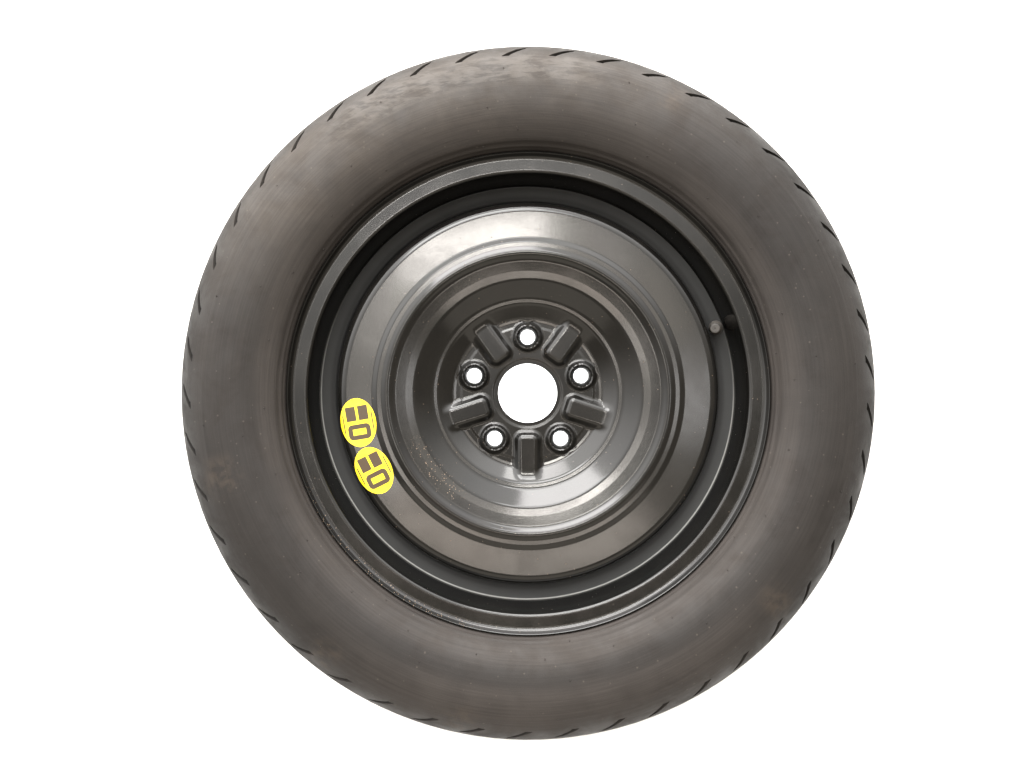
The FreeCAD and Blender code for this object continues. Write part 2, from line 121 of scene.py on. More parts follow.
def arcRun(middle, radius, first, last, count):
    angles = np.radians(np.linspace(first, last, count))
    return np.column_stack([middle[0] + radius * np.cos(angles), middle[1] + radius * np.sin(angles)])


def gridFaces(rows, columns, closed=False, first=0):
    # quads of a grid whose columns go all the way round
    faces = []
    for row in range(rows if closed else rows - 1):
        here = first + row * columns
        there = first + (row + 1) % rows * columns
        for column in range(columns):
            beside = (column + 1) % columns
            faces.append((here + column, here + beside, there + beside, there + column))
    return faces


def turned(outline, columns):
    # points of an (r, z) outline carried round the axle, row by row
    angles = np.arange(columns) * 2 * math.pi / columns
    r, z = outline[:, 0, None], outline[:, 1, None]
    return np.stack([r * np.cos(angles), r * np.sin(angles), z + 0 * angles], axis=-1).reshape(-1, 3)


def makePiece(name, points, faces, material, body, sharp=40.0, place=None, dirtAndShade=None):
    mesh = bpy.data.meshes.new(name)
    mesh.from_pydata((np.asarray(points) * mm).tolist(), [], faces)
    if place is not None:
        mesh.transform(place)
    build = bmesh.new()
    build.from_mesh(mesh)
    bmesh.ops.recalc_face_normals(build, faces=build.faces)
    build.to_mesh(mesh)
    build.free()
    # a per-point mask, such as the painted shade in the tyre's slits, goes to the material
    if dirtAndShade is not None:
        mesh.attributes.new("dirtAndShade", "FLOAT", "POINT").data.foreach_set("value", np.asarray(dirtAndShade, float))
    mesh.shade_smooth()
    mesh.set_sharp_from_angle(angle=math.radians(sharp))
    mesh.materials.append(material)
    piece = bpy.data.objects.new(name, mesh)
    bpy.context.scene.collection.objects.link(piece)
    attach(piece, body)
    print("made", name, len(mesh.polygons), "faces")
    return piece


def smoothStep(value, low, high):
    share = np.clip((value - low) / (high - low), 0, 1)
    return share * share * (3 - 2 * share)


def softMax(a, b, blend):
    # larger of two heights with a round fillet between them
    share = np.clip(0.5 + 0.5 * (a - b) / blend, 0, 1)
    return b + (a - b) * share + blend * share * (1 - share)


def softMin(a, b, blend):
    return -softMax(-a, -b, blend)


# Shader building blocks

def put(tree, kind, links=None, **settings):
    made = tree.nodes.new(kind)
    for key, value in settings.items():
        setattr(made, key, value)
    for socket, value in (links or {}).items():
        connect(tree, made.inputs[socket], value)
    return made


def connect(tree, socket, value):
    if isinstance(value, bpy.types.NodeSocket):
        tree.links.new(value, socket)
    else:
        socket.default_value = value


def calc(tree, operation, *values, clamp=False):
    made = tree.nodes.new("ShaderNodeMath")
    made.operation = operation
    made.use_clamp = clamp
    for socket, value in zip(made.inputs, values):
        connect(tree, socket, value)
    return made.outputs[0]


def times(tree, product, *others):
    for other in others:
        product = calc(tree, "MULTIPLY", product, other)
    return product


def lengthOf(tree, x, y):
    return calc(tree, "SQRT", calc(tree, "ADD", times(tree, x, x), times(tree, y, y)))


def fade(tree, value, low, high, start=0.0, end=1.0):
    made = put(tree, "ShaderNodeMapRange", {
        "Value": value, "From Min": low, "From Max": high, "To Min": start, "To Max": end},
        interpolation_type="SMOOTHSTEP")
    return made.outputs["Result"]


def tint(tree, mask, under, over, blend="MIX"):
    made = tree.nodes.new("ShaderNodeMix")
    made.data_type = "RGBA"
    made.blend_type = blend
    for index, value in ((0, mask), (6, under), (7, over)):
        connect(tree, made.inputs[index], value)
    return made.outputs[2]


def newGroup(name, inputs, outputs):
    group = bpy.data.node_groups.new(name, "ShaderNodeTree")
    for label, kind, value in inputs:
        socket = group.interface.new_socket(name=label, in_out="INPUT", socket_type="NodeSocket" + kind)
        socket.default_value = value
    for label, kind in outputs:
        group.interface.new_socket(name=label, in_out="OUTPUT", socket_type="NodeSocket" + kind)
    return group, put(group, "NodeGroupInput").outputs, put(group, "NodeGroupOutput").inputs


def use(tree, group, links=None):
    return put(tree, "ShaderNodeGroup", links, node_tree=group).outputs


def wheelPlaceGroup():
    # where a point lies on the wheel: millimetres from the axle line, degrees round it
    group, _, out = newGroup("wheelPlace", [], [
        ("Place", "Vector"), ("Radius", "Float"), ("Azimuth", "Float")])
    place = put(group, "ShaderNodeTexCoord").outputs["Object"]
    scaled = put(group, "ShaderNodeVectorMath", {0: place, "Scale": 1 / mm}, operation="SCALE").outputs[0]
    axes = put(group, "ShaderNodeSeparateXYZ", {0: scaled}).outputs
    turn = calc(group, "DEGREES", calc(group, "ARCTAN2", axes[1], axes[0]))
    connect(group, out["Place"], scaled)
    connect(group, out["Radius"], lengthOf(group, axes[0], axes[1]))
    connect(group, out["Azimuth"], calc(group, "FLOORED_MODULO", turn, 360.0))
    return group


def patchGroup():
    # soft-edged piece of a ring, given in millimetres and degrees
    group, given, out = newGroup("ringPatch", [
        ("Radius", "Float", 0.0), ("Azimuth", "Float", 0.0), ("Middle Radius", "Float", 100.0),
        ("Half Width", "Float", 10.0), ("Middle Angle", "Float", 0.0), ("Half Angle", "Float", 20.0),
        ("Soft Width", "Float", 5.0), ("Soft Angle", "Float", 5.0)], [("Mask", "Float")])
    off = calc(group, "ABSOLUTE", calc(group, "SUBTRACT", given["Radius"], given["Middle Radius"]))
    across = calc(group, "DIVIDE", calc(group, "SUBTRACT", given["Half Width"], off), given["Soft Width"])
    turn = calc(group, "SUBTRACT", given["Azimuth"], given["Middle Angle"])
    turn = calc(group, "ABSOLUTE", calc(group, "WRAP", turn, 180.0, -180.0))
    along = calc(group, "DIVIDE", calc(group, "SUBTRACT", given["Half Angle"], turn), given["Soft Angle"])
    connect(group, out["Mask"], times(group, fade(group, across, -1.0, 1.0), fade(group, along, -1.0, 1.0)))
    return group


def veilGroup():
    # cloudy film of dust: more cover gives a fuller film
    group, given, out = newGroup("dustVeil", [
        ("Place", "Vector", (0, 0, 0)), ("Scale", "Float", 0.02), ("Cover", "Float", 0.5),
        ("Softness", "Float", 0.2), ("Stretch", "Vector", (1, 1, 1))], [("Mask", "Float")])
    place = put(group, "ShaderNodeVectorMath", {0: given["Place"], 1: given["Stretch"]},
                operation="MULTIPLY").outputs[0]
    cloud = put(group, "ShaderNodeTexNoise", {"Vector": place, "Scale": given["Scale"], "Detail": 7.0,
                                              "Roughness": 0.62, "Distortion": 0.4}).outputs[0]
    level = calc(group, "ADD", calc(group, "SUBTRACT", cloud, 1.0), given["Cover"])
    connect(group, out["Mask"], calc(group, "DIVIDE", level, given["Softness"], clamp=True))
    return group


def grainGroup():
    # fine uneven grain of a moulded or painted skin
    group, given, out = newGroup("fineGrain", [("Place", "Vector", (0, 0, 0)), ("Scale", "Float", 1.0)],
                                 [("Value", "Float")])
    coarse = put(group, "ShaderNodeTexNoise", {"Vector": given["Place"], "Scale": given["Scale"],
                                               "Detail": 3.0, "Roughness": 0.6}).outputs[0]
    fineScale = times(group, given["Scale"], 4.7)
    fine = put(group, "ShaderNodeTexNoise", {"Vector": given["Place"], "Scale": fineScale,
                                             "Detail": 2.0}).outputs[0]
    connect(group, out["Value"], calc(group, "ADD", times(group, coarse, 0.65), times(group, fine, 0.35)))
    return group


def speckGroup():
    # scattered specks of dirt, each of its own size
    group, given, out = newGroup("dirtSpecks", [
        ("Place", "Vector", (0, 0, 0)), ("Scale", "Float", 0.2), ("Size", "Float", 0.2),
        ("Share", "Float", 0.3)], [("Mask", "Float")])
    cells = put(group, "ShaderNodeTexVoronoi", {"Vector": given["Place"], "Scale": given["Scale"]}).outputs
    lot = put(group, "ShaderNodeSeparateColor", {0: cells["Color"]}).outputs
    size = times(group, given["Size"], calc(group, "ADD", lot[1], 0.25))
    spot = fade(group, cells["Distance"], times(group, size, 0.6), size, 1.0, 0.0)
    kept = calc(group, "LESS_THAN", lot[0], given["Share"])
    connect(group, out["Mask"], times(group, spot, kept))
    return group


def ringsGroup():
    # streaky rings round the axle line, each about as wide as asked
    group, given, out = newGroup("wipeRings", [("Radius", "Float", 0.0), ("Azimuth", "Float", 0.0),
                                               ("Width", "Float", 3.0)], [("Value", "Float")])
    turn = calc(group, "RADIANS", given["Azimuth"])
    spot = put(group, "ShaderNodeCombineXYZ", {
        0: times(group, calc(group, "COSINE", turn), 3.0),
        1: times(group, calc(group, "SINE", turn), 3.0),
        2: calc(group, "DIVIDE", given["Radius"], given["Width"])}).outputs[0]
    connect(group, out["Value"], put(group, "ShaderNodeTexNoise", {
        "Vector": spot, "Scale": 1.0, "Detail": 4.0, "Roughness": 0.65}).outputs[0])
    return group


wheelPlace = wheelPlaceGroup()
ringPatch = patchGroup()
dustVeil = veilGroup()
fineGrain = grainGroup()
dirtSpecks = speckGroup()
wipeRings = ringsGroup()


def newMaterial(name):
    material = bpy.data.materials.new(name)
    material.use_nodes = True
    tree = material.node_tree
    skin = tree.nodes["Principled BSDF"]
    return material, tree, skin, use(tree, wheelPlace)


def veil(tree, place, scale, cover, softness, stretch=(1, 1, 1)):
    return use(tree, dustVeil, {"Place": place["Place"], "Scale": scale, "Cover": cover,
                                "Softness": softness, "Stretch": stretch})["Mask"]


def patch(tree, place, radius, halfWidth, angle, halfAngle, softWidth, softAngle):
    return use(tree, ringPatch, {
        "Radius": place["Radius"], "Azimuth": place["Azimuth"], "Middle Radius": radius,
        "Half Width": halfWidth, "Middle Angle": angle, "Half Angle": halfAngle,
        "Soft Width": softWidth, "Soft Angle": softAngle})["Mask"]


def specks(tree, place, scale, size, share):
    return use(tree, dirtSpecks, {"Place": place["Place"], "Scale": scale, "Size": size,
                                  "Share": share})["Mask"]


def grain(tree, place, scale):
    return use(tree, fineGrain, {"Place": place["Place"], "Scale": scale})["Value"]


def bumped(tree, skin, height, strength, distance):
    bump = put(tree, "ShaderNodeBump", {"Height": height, "Strength": strength, "Distance": distance * mm})
    tree.links.new(bump.outputs["Normal"], skin.inputs["Normal"])


# Tyre rubber with the storage dust and scuffs of the photographed one

tyreLook = {
    "rubber": (0.0182, 0.0156, 0.0144, 1),
    "faded": (0.0304, 0.0262, 0.0238, 1),
    "dust": (0.083, 0.070, 0.058, 1),
    "scuff": (0.115, 0.103, 0.092, 1),
    "clay": (0.075, 0.056, 0.040, 1),
    # near black in the slits: painted shade
    "slit": (0.004, 0.0036, 0.0034, 1),
    # veils: scale, cover, softness and, for the arcs, stretch
    "fadedVeil": (0.011, 0.86, 0.55),
    "filmVeil": (0.03, 0.72, 0.5),
    "paleVeil": (0.02, 0.75, 0.4),
    "arcVeil": (0.16, 0.58, 0.14, (0.3, 1.0, 1.0)),
    "streakVeil": (0.08, 0.6, 0.2),
    "shoulderVeil": (0.05, 0.9, 0.5),
    # patches: radius, half width, angle, half angle, soft width, soft angle
    "upperLeft": (300.0, 45.0, 120.0, 45.0, 25.0, 30.0),
    # the top and the foot are spared the painted shade of the sides
    "shadeFreeTop": (310.0, 60.0, 104.0, 48.0, 20.0, 26.0),
    "shadeFreeFoot": (318.0, 40.0, 276.0, 38.0, 10.0, 20.0),
    "rubbedTop": (310.0, 15.0, 102.0, 24.0, 6.0, 8.0),
    "streaks": (   # angle, radius, half angle
        (195.0, 300.0, 3.0), (232.0, 316.0, 2.2), (258.0, 322.0, 2.6), (320.0, 306.0, 2.2),
        (64.0, 312.0, 2.0)),
    "streakEdges": (16.0, 12.0, 2.0),     # half width, soft width, soft angle
    # bands: from and to a radius, with the values at both
    "filmBand": (250.0, 345.0, 0.10, 0.18),
    # painted shade of the sides: the band where it grows in, then its tone from and to a radius
    "sideShadeBand": (246.0, 270.0),
    "sideShadeTone": (312.0, 330.0, 0.53, 0.36),
    "shoulderBand": (326.5, 328.5),
    # painted shade at the tread's edge
    "edgeShadeTone": (322.0, 336.0, 1.0, 0.56),
    "ringWidth": 1.5,
    "ringTone": (0.3, 0.7, 0.84, 1.14),   # from and to a value of the rings, with the tones at both
    "specks": (0.16, 0.16, 0.35),         # scale, size, share
    # strength of each layer
    "paleShare": 0.35,
    "scuffShare": 0.32,
    "streakShare": 0.28,
    "shoulderShare": 0.08,
    "speckShare": 0.35,
    "roughness": (0.52, 0.86),
    "specular": 0.25,
    "grain": 0.55,
    "bump": (0.5, 0.25),                  # strength, depth
}


def tyreRubber():
    look = tyreLook
    material, tree, skin, place = newMaterial("tyreRubber")
    radius = place["Radius"]
    colour = tint(tree, veil(tree, place, *look["fadedVeil"]), look["rubber"], look["faded"])
    # a thin dust film, thicker towards the tread and on the upper left
    film = veil(tree, place, *look["filmVeil"])
    colour = tint(tree, times(tree, film, fade(tree, radius, *look["filmBand"])), colour, look["dust"])
    upperLeft = patch(tree, place, *look["upperLeft"])
    pale = times(tree, upperLeft, veil(tree, place, *look["paleVeil"]), look["paleShare"])
    colour = tint(tree, pale, colour, look["dust"])
    # wiping has left faint rings round the sidewall
    rings = use(tree, wipeRings, {"Radius": radius, "Azimuth": place["Azimuth"],
                                  "Width": look["ringWidth"]})["Value"]
    colour = tint(tree, 1.0, colour, fade(tree, rings, *look["ringTone"]), "MULTIPLY")
    # painted shade: the sides are darker than the top and the foot, most towards the tread
    shadeFree = calc(tree, "MAXIMUM", patch(tree, place, *look["shadeFreeTop"]),
                 patch(tree, place, *look["shadeFreeFoot"]))
    sideShade = times(tree, fade(tree, radius, *look["sideShadeBand"]), calc(tree, "SUBTRACT", 1.0, shadeFree))
    darkest = fade(tree, radius, *look["sideShadeTone"])
    colour = tint(tree, 1.0, colour, fade(tree, sideShade, 0.0, 1.0, 1.0, darkest), "MULTIPLY")
    # rubbed arcs near the tread at the top
    rubbedTop = patch(tree, place, *look["rubbedTop"])
    rubbed = times(tree, rubbedTop, veil(tree, place, *look["arcVeil"]), look["scuffShare"])
    colour = tint(tree, rubbed, colour, look["scuff"])
    # broken streaks of clay
    broken = veil(tree, place, *look["streakVeil"])
    halfWidth, softWidth, softAngle = look["streakEdges"]
    for angle, middle, halfAngle in look["streaks"]:
        streak = patch(tree, place, middle, halfWidth, angle, halfAngle, softWidth, softAngle)
        colour = tint(tree, times(tree, streak, broken, look["streakShare"]), colour, look["clay"])
    # dusty shoulder outside a crisp edge, then painted shade darker again towards the tread
    shoulder = fade(tree, radius, *look["shoulderBand"])
    shoulder = times(tree, shoulder, veil(tree, place, *look["shoulderVeil"]), look["shoulderShare"])
    colour = tint(tree, shoulder, colour, look["dust"])
    spots = times(tree, specks(tree, place, *look["specks"]), look["speckShare"])
    colour = tint(tree, spots, colour, look["dust"])
    # painted shade: the tyre's edge darker towards the tread
    colour = tint(tree, 1.0, colour, fade(tree, radius, *look["edgeShadeTone"]), "MULTIPLY")
    # painted shade: near black inside the slits
    slitShade = put(tree, "ShaderNodeAttribute", attribute_name="dirtAndShade").outputs["Fac"]
    colour = tint(tree, slitShade, colour, look["slit"])
    tree.links.new(colour, skin.inputs["Base Color"])
    tree.links.new(fade(tree, film, 0.0, 1.0, *look["roughness"]), skin.inputs["Roughness"])
    skin.inputs["Specular IOR Level"].default_value = look["specular"]
    bumped(tree, skin, grain(tree, place, look["grain"]), *look["bump"])
    return material


# Black paint of the rim and disc

paintLook = {
    "paint": (0.0040, 0.0039, 0.0036, 1),
    "haze": (0.019, 0.017, 0.0145, 1),
    "grit": (0.15, 0.105, 0.07, 1),
    # near black of the painted shade in the gutter beside the disc
    "shade": (0.001, 0.001, 0.001, 1),
    "gutter": (0.0120, 0.0126, 0.0124, 1),
    # pale colour of the painted highlight line in the gutter's corner
    "corner": (0.26, 0.26, 0.25, 1),
    "hazeVeil": (0.02, 0.66, 0.5),        # scale, cover, softness
    "hazeShare": 0.35,
    "thickSpecks": (0.55, 0.34, 0.55),    # scale, size, share
    "thinSpecks": (0.22, 0.12, 0.30),
    "thinShare": 0.4,
    # patches: radius, half width, angle, half angle, soft width, soft angle
    "grittyWall": (121.0, 8.0, 220.0, 15.0, 5.0, 8.0),
    "grittyLip": (232.0, 3.0, 230.0, 25.0, 2.0, 8.0),
    "gutterRing": (204.6, 7.7, 0.0, 400.0, 0.4, 1.0),
    # dust film and painted light on the lower throat
    "throatDustAndLightRing": (214.8, 1.3, 265.0, 75.0, 0.4, 30.0),
    # painted highlight line in the gutter's lower corner
    "highlightLine": (212.7, 0.55, 265.0, 95.0, 0.35, 30.0),
    "ledgeBand": (201.5, 205.5),          # from and to a radius
    "throatDustAndLightShare": 0.35,
    "roughness": (0.11, 0.18),
    "dullGrit": 0.4,                      # added roughness
    "dullGutter": 0.55,
    "peel": 0.35,
    "bump": (0.08, 0.2),                  # strength, depth
}


def blackPaint():
    look = paintLook
    material, tree, skin, place = newMaterial("blackPaint")
    haze = veil(tree, place, *look["hazeVeil"])
    colour = tint(tree, times(tree, haze, look["hazeShare"]), look["paint"], look["haze"])
    # grit lies thick in two spots and thin elsewhere
    gritty = calc(tree, "MAXIMUM", patch(tree, place, *look["grittyWall"]),
                  patch(tree, place, *look["grittyLip"]))
    thick = times(tree, specks(tree, place, *look["thickSpecks"]), gritty)
    thin = times(tree, specks(tree, place, *look["thinSpecks"]), look["thinShare"])
    dirtAndShade = calc(tree, "ADD", thick, thin, clamp=True)
    colour = tint(tree, dirtAndShade, colour, look["grit"])
    # the gutter between disc and rim is dull, with painted shade near the disc, a film of dust on its ledge, dust
    # and painted light on the lower throat and a painted highlight line in its lower corner
    gutter = patch(tree, place, *look["gutterRing"])
    ledge = times(tree, gutter, fade(tree, place["Radius"], *look["ledgeBand"]))
    # painted shade over the whole gutter, left showing near the disc
    colour = tint(tree, gutter, colour, look["shade"])
    colour = tint(tree, ledge, colour, look["gutter"])
    # dust film on the throat's lower side only, where light falls: painted light
    throatDustAndLight = times(tree, patch(tree, place, *look["throatDustAndLightRing"]), look["throatDustAndLightShare"])
    colour = tint(tree, throatDustAndLight, colour, look["gutter"])
    # painted highlight: a pale line in the gutter's lower corner
    colour = tint(tree, patch(tree, place, *look["highlightLine"]), colour, look["corner"])
    tree.links.new(colour, skin.inputs["Base Color"])
    roughness = fade(tree, haze, 0.0, 1.0, *look["roughness"])
    dull = calc(tree, "MAXIMUM", times(tree, dirtAndShade, look["dullGrit"]), times(tree, gutter, look["dullGutter"]))
    tree.links.new(calc(tree, "ADD", roughness, dull), skin.inputs["Roughness"])
    bumped(tree, skin, grain(tree, place, look["peel"]), *look["bump"])
    return material


# Small materials of the valve, its core and the labels

smallSkins = {   # dark and pale tone, roughness from and to, scale of the grain, bump, metallic
    "valveRubber": ((0.05, 0.046, 0.042, 1), (0.12, 0.108, 0.096, 1), (0.55, 0.8), 2.0, 0.25, 0.0),
    "capPlastic": ((0.014, 0.0125, 0.0115, 1), (0.044, 0.039, 0.034, 1), (0.45, 0.70), 2.4, 0.2, 0.0),
    "valveBrass": ((0.62, 0.42, 0.17, 1), (0.48, 0.33, 0.15, 1), (0.2, 0.36), 3.0, 0.1, 1.0),
    "sealRubber": ((0.06, 0.03, 0.025, 1), (0.10, 0.06, 0.05, 1), (0.5, 0.7), 3.0, 0.2, 0.0),
    "springSteel": ((0.52, 0.52, 0.54, 1), (0.40, 0.40, 0.42, 1), (0.22, 0.36), 3.0, 0.1, 1.0),
}
smallFilm = {
    "scale": 0.2,              # as a share of the grain's
    "cover": 0.72,
    "softness": 0.4,
    "glossRun": (0.3, 0.7),    # values of the grain between which the roughness changes
    "bumpDepth": 0.08,
}


def plainSkin(name, dark, pale, roughness, grainScale, bump, metallic):
    # moulded or turned skin: two tones of one colour, uneven gloss and a fine grain
    material, tree, skin, place = newMaterial(name)
    fine = grain(tree, place, grainScale)
    film = veil(tree, place, grainScale * smallFilm["scale"], smallFilm["cover"], smallFilm["softness"])
    tree.links.new(tint(tree, film, dark, pale), skin.inputs["Base Color"])
    tree.links.new(fade(tree, fine, *smallFilm["glossRun"], *roughness), skin.inputs["Roughness"])
    skin.inputs["Metallic"].default_value = metallic
    bumped(tree, skin, fine, bump, smallFilm["bumpDepth"])
    return material


labelLook = {
    "film": (0.93, 0.70, 0.005, 1),
    "faded": (0.80, 0.60, 0.03, 1),
    "ink": (0.045, 0.026, 0.010, 1),
    "frame": (-9.2, 0.0, 7.6, 11.2),   # x, y, half width, half height
    "frameLine": 4.6,
    "frameCorner": 4.5,
    "bars": ((9.2, 6.1, 7.2, 4.9), (9.2, -6.1, 7.2, 4.9), (0.0, -14.2, 9.0, 0.6), (0.0, 14.2, 9.0, 0.6)),
    "barCorner": 0.6,
    "inkEdge": 0.15,
    "wear": (0.12, 0.62, 0.3),         # scale, cover, softness
    "roughness": (0.38, 0.55),
    "ripple": 0.25,
    "bump": (0.08, 0.1),               # strength, depth
}


def boxDistance(tree, x, y, shape, corner):
    # distance outside a rounded rectangle
    middleX, middleY, halfX, halfY = shape
    overX = calc(tree, "SUBTRACT", calc(tree, "ABSOLUTE", calc(tree, "SUBTRACT", x, middleX)), halfX - corner)
    overY = calc(tree, "SUBTRACT", calc(tree, "ABSOLUTE", calc(tree, "SUBTRACT", y, middleY)), halfY - corner)
    outside = lengthOf(tree, calc(tree, "MAXIMUM", overX, 0.0), calc(tree, "MAXIMUM", overY, 0.0))
    inside = calc(tree, "MINIMUM", calc(tree, "MAXIMUM", overX, overY), 0.0)
    return calc(tree, "SUBTRACT", calc(tree, "ADD", outside, inside), corner)


def labelFilm(name, node):
    look = labelLook
    low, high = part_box(node)
    middle = (low + high) / 2 / mm
    angle = math.atan2(middle.y, middle.x)
    sine, cosine = math.sin(angle), math.cos(angle)
    material, tree, skin, place = newMaterial(name)
    axes = put(tree, "ShaderNodeSeparateXYZ", {0: place["Place"]}).outputs
    # across runs round the wheel, along runs away from the axle
    offX = calc(tree, "SUBTRACT", axes[0], middle.x)
    offY = calc(tree, "SUBTRACT", axes[1], middle.y)
    across = calc(tree, "ADD", times(tree, offX, sine), times(tree, offY, -cosine))
    along = calc(tree, "ADD", times(tree, offX, cosine), times(tree, offY, sine))
    half, edge = look["frameLine"] / 2, look["inkEdge"]
    gap = boxDistance(tree, across, along, look["frame"], look["frameCorner"])
    line = calc(tree, "ABSOLUTE", calc(tree, "ADD", gap, half))
    ink = fade(tree, line, half - edge, half + edge, 1.0, 0.0)
    for shape in look["bars"]:
        bar = boxDistance(tree, across, along, shape, look["barCorner"])
        ink = calc(tree, "MAXIMUM", ink, fade(tree, bar, -edge, edge, 1.0, 0.0))
    worn = veil(tree, place, *look["wear"])
    film = tint(tree, worn, look["film"], look["faded"])
    tree.links.new(tint(tree, ink, film, look["ink"]), skin.inputs["Base Color"])
    tree.links.new(fade(tree, worn, 0.0, 1.0, *look["roughness"]), skin.inputs["Roughness"])
    bumped(tree, skin, grain(tree, place, look["ripple"]), *look["bump"])
    return material


tyreMaterial = tyreRubber()
paintMaterial = blackPaint()
skins = {name: plainSkin(name, *values) for name, values in smallSkins.items()}
print("materials made")


# Rim: one rolled sheet

rimSize = {
    "gauge": 2.3,
    "corners": [   # open side, from the outboard lip to the inboard one: radius, height, bend
        (233.6, 58.4, 0), (231.2, 53.1, 4.0), (216.0, 53.1, 2.9), (213.5, 12.4, 2.5), (196.5, 7.04, 5.0),
        (196.2, -4.0, 6.0), (196.2, -23.0, 6.0), (213.5, -31.0, 2.5), (216.0, -53.1, 4.5),
        (231.2, -53.1, 5.5), (233.6, -58.4, 0)],
    "edgeRound": 0.6,
    "lipShares": (0.22, 0.5, 0.78),   # points across the cut edge
    "runStep": 6.0,
    "columns": 320,
}


def makeRim():
    size = rimSize
    points, normals = bentRun(size["corners"], size["runStep"])
    gauge, edge = size["gauge"], size["edgeRound"]
    way = unit(points[0] - points[1])
    # the cut edges of the sheet are rounded a little
    openSide = np.vstack([points[0] - way * edge, points[1:-1], points[-1] - way * (edge, -edge)])
    tyreSide = openSide + normals * gauge
    lipOut = points[0] + normals[0] * np.array(size["lipShares"])[:, None] * gauge
    lipIn = lipOut * (1, -1)
    outline = np.vstack([openSide, lipIn, tyreSide[::-1], lipOut[::-1]])
    columns = size["columns"]
    piece = makePiece("rimSheet", turned(outline, columns), gridFaces(len(outline), columns, True),
                      paintMaterial, "wheel")
    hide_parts("rim")


# Wheel disc: one pressing with hub pad, bosses and ribs

mounts = {mount["name"]: mount for mount in record["mounts"]}
discSize = {
    "gauge": 3.0,
    "pad": 22.0,
    "bore": mounts["centre_bore"]["dims"]["r_mm"],
    "land": (35.0, 0.6, 0.4),            # radius, depth, half width of its edge
    "relief": (67.5, 74.0, 0.7, 0.5),    # inner radius, outer radius, depth, half width of its edges
    "boltCircle": mounts["wheel_bolts"]["dims"]["pcd_mm"] / 2,
    "boltCount": mounts["wheel_bolts"]["dims"]["count"],
    "boltHole": mounts["wheel_bolts"]["dims"]["hole_r_mm"],
    "firstBolt": 90.0,
    "boss": (15.5, 12.2, 4.5),           # foot radius, head radius, height
    "bossBlend": (0.9, 1.2),             # round of the head, fillet at the foot
    "seat": (11.0, 30.0, 0.5),           # mouth radius, half angle, round of the mouth
    "rib": (38.7, 13.8, 8.6, 6.0),       # start, foot half width, top half width, height
    "ribCorner": 9.0,
    "ribBlend": (2.4, 2.0),              # round of the top, fillet at the foot
    "hubEnd": 94.0,
    "corners": [   # outboard face from the pad's edge to the skirt's end: radius, height, bend
        (76.6, 22.0, 3.5), (90.0, 32.0, 8.0), (96.0, 33.0, 14.0), (113.0, 41.3, 14.0), (121.5, 43.1, 10.0),
        (132.6, 45.1, 12.0), (139.0, 48.4, 9.0), (145.2, 46.5, 2.0), (150.0, 46.5, 3.5), (154.6, 44.5, 2.5),
        (190.5, 44.5, 10.5), (190.5, 33.0, 8.0), (196.1, 3.0, 8.0), (196.1, -14.0, 0)],
    "padStep": 1.0,
    "padMargin": (3.0, 0.7),             # least gap from the last even row to the pad's edge, to the next row
    "runStep": 9.0,
    "columns": 315,
}


def boltAngle(index):
    return math.radians(discSize["firstBolt"] + index * 360 / discSize["boltCount"])


def hubHeight(base, x, y, hollow):
    # height of the pad with its ribs and bosses; hollow is the sheet's gauge on the inboard side
    size = discSize
    start, foot, top, rise = size["rib"]
    corner = size["ribCorner"]
    topRound, footFillet = size["ribBlend"]
    pad = size["pad"] - hollow
    slope = rise / (foot - top)
    inset = hollow * math.tan(math.atan(slope) / 2)
    height = base
    for index in range(size["boltCount"]):
        angle = boltAngle(index + 0.5)
        along = x * math.cos(angle) + y * math.sin(angle)
        across = np.abs(y * math.cos(angle) - x * math.sin(angle))
        overIn = start + inset + corner - along
        overSide = across - (foot - inset - corner)
        beyond = np.hypot(np.maximum(overIn, 0), np.maximum(overSide, 0))
        inside = corner - beyond - np.minimum(np.maximum(overIn, overSide), 0)
        bank = softMin(inside * slope, rise + 0 * inside, topRound)
        height = np.where(along > 0, softMax(height, pad + bank, footFillet), height)
    if hollow:
        return height
    footRadius, headRadius, bossRise = size["boss"]
    headRound, bossFillet = size["bossBlend"]
    mouth, halfAngle, mouthRound = size["seat"]
    for index in range(size["boltCount"]):
        angle = boltAngle(index)
        off = np.hypot(x - size["boltCircle"] * math.cos(angle), y - size["boltCircle"] * math.sin(angle))
        flank = (footRadius - off) * bossRise / (footRadius - headRadius)
        height = softMax(height, pad + softMin(flank, bossRise + 0 * off, headRound), bossFillet)
        seat = pad + bossRise + (off - mouth) / math.tan(math.radians(halfAngle))
        height = np.where(off < mouth + 2, softMin(height, seat, mouthRound), height)
    return height


def discGrids():
    # points of the outboard and the inboard face, in rows from the bore outwards
    size = discSize
    columns = size["columns"]
    points, normals = bentRun([(size["bore"], size["pad"], 0)] + size["corners"], size["runStep"])
    edgeMargin, rowMargin = size["padMargin"]
    flat = np.arange(size["bore"], size["corners"][0][0] - edgeMargin, size["padStep"])
    outer = points[:, 0] > flat[-1] + rowMargin
    front = np.vstack([np.column_stack([flat, np.full(len(flat), size["pad"])]), points[outer]])
    sides = np.vstack([np.tile([0.0, 1.0], (len(flat), 1)), normals[outer]])
    back = front - sides * size["gauge"]
    land, landDepth, landEdge = size["land"]
    low, high, depth, edge = size["relief"]
    grids = []
    for outline, hollow in ((front, 0.0), (back, size["gauge"])):
        grid = turned(outline, columns).reshape(len(outline), columns, 3)
        hub = outline[:, 0] < size["hubEnd"]
        x, y, z = np.moveaxis(grid[hub], -1, 0)
        if not hollow:
            radius = np.hypot(x, y)
            z = z - landDepth * smoothStep(-radius, -land - landEdge, -land + landEdge)
            relief = depth * smoothStep(radius, low - edge, low + edge)
            z = z - relief * smoothStep(-radius, -high - edge, -high + edge)
        grid[hub, :, 2] = hubHeight(z, x, y, hollow)
        grids.append(grid)
    return grids


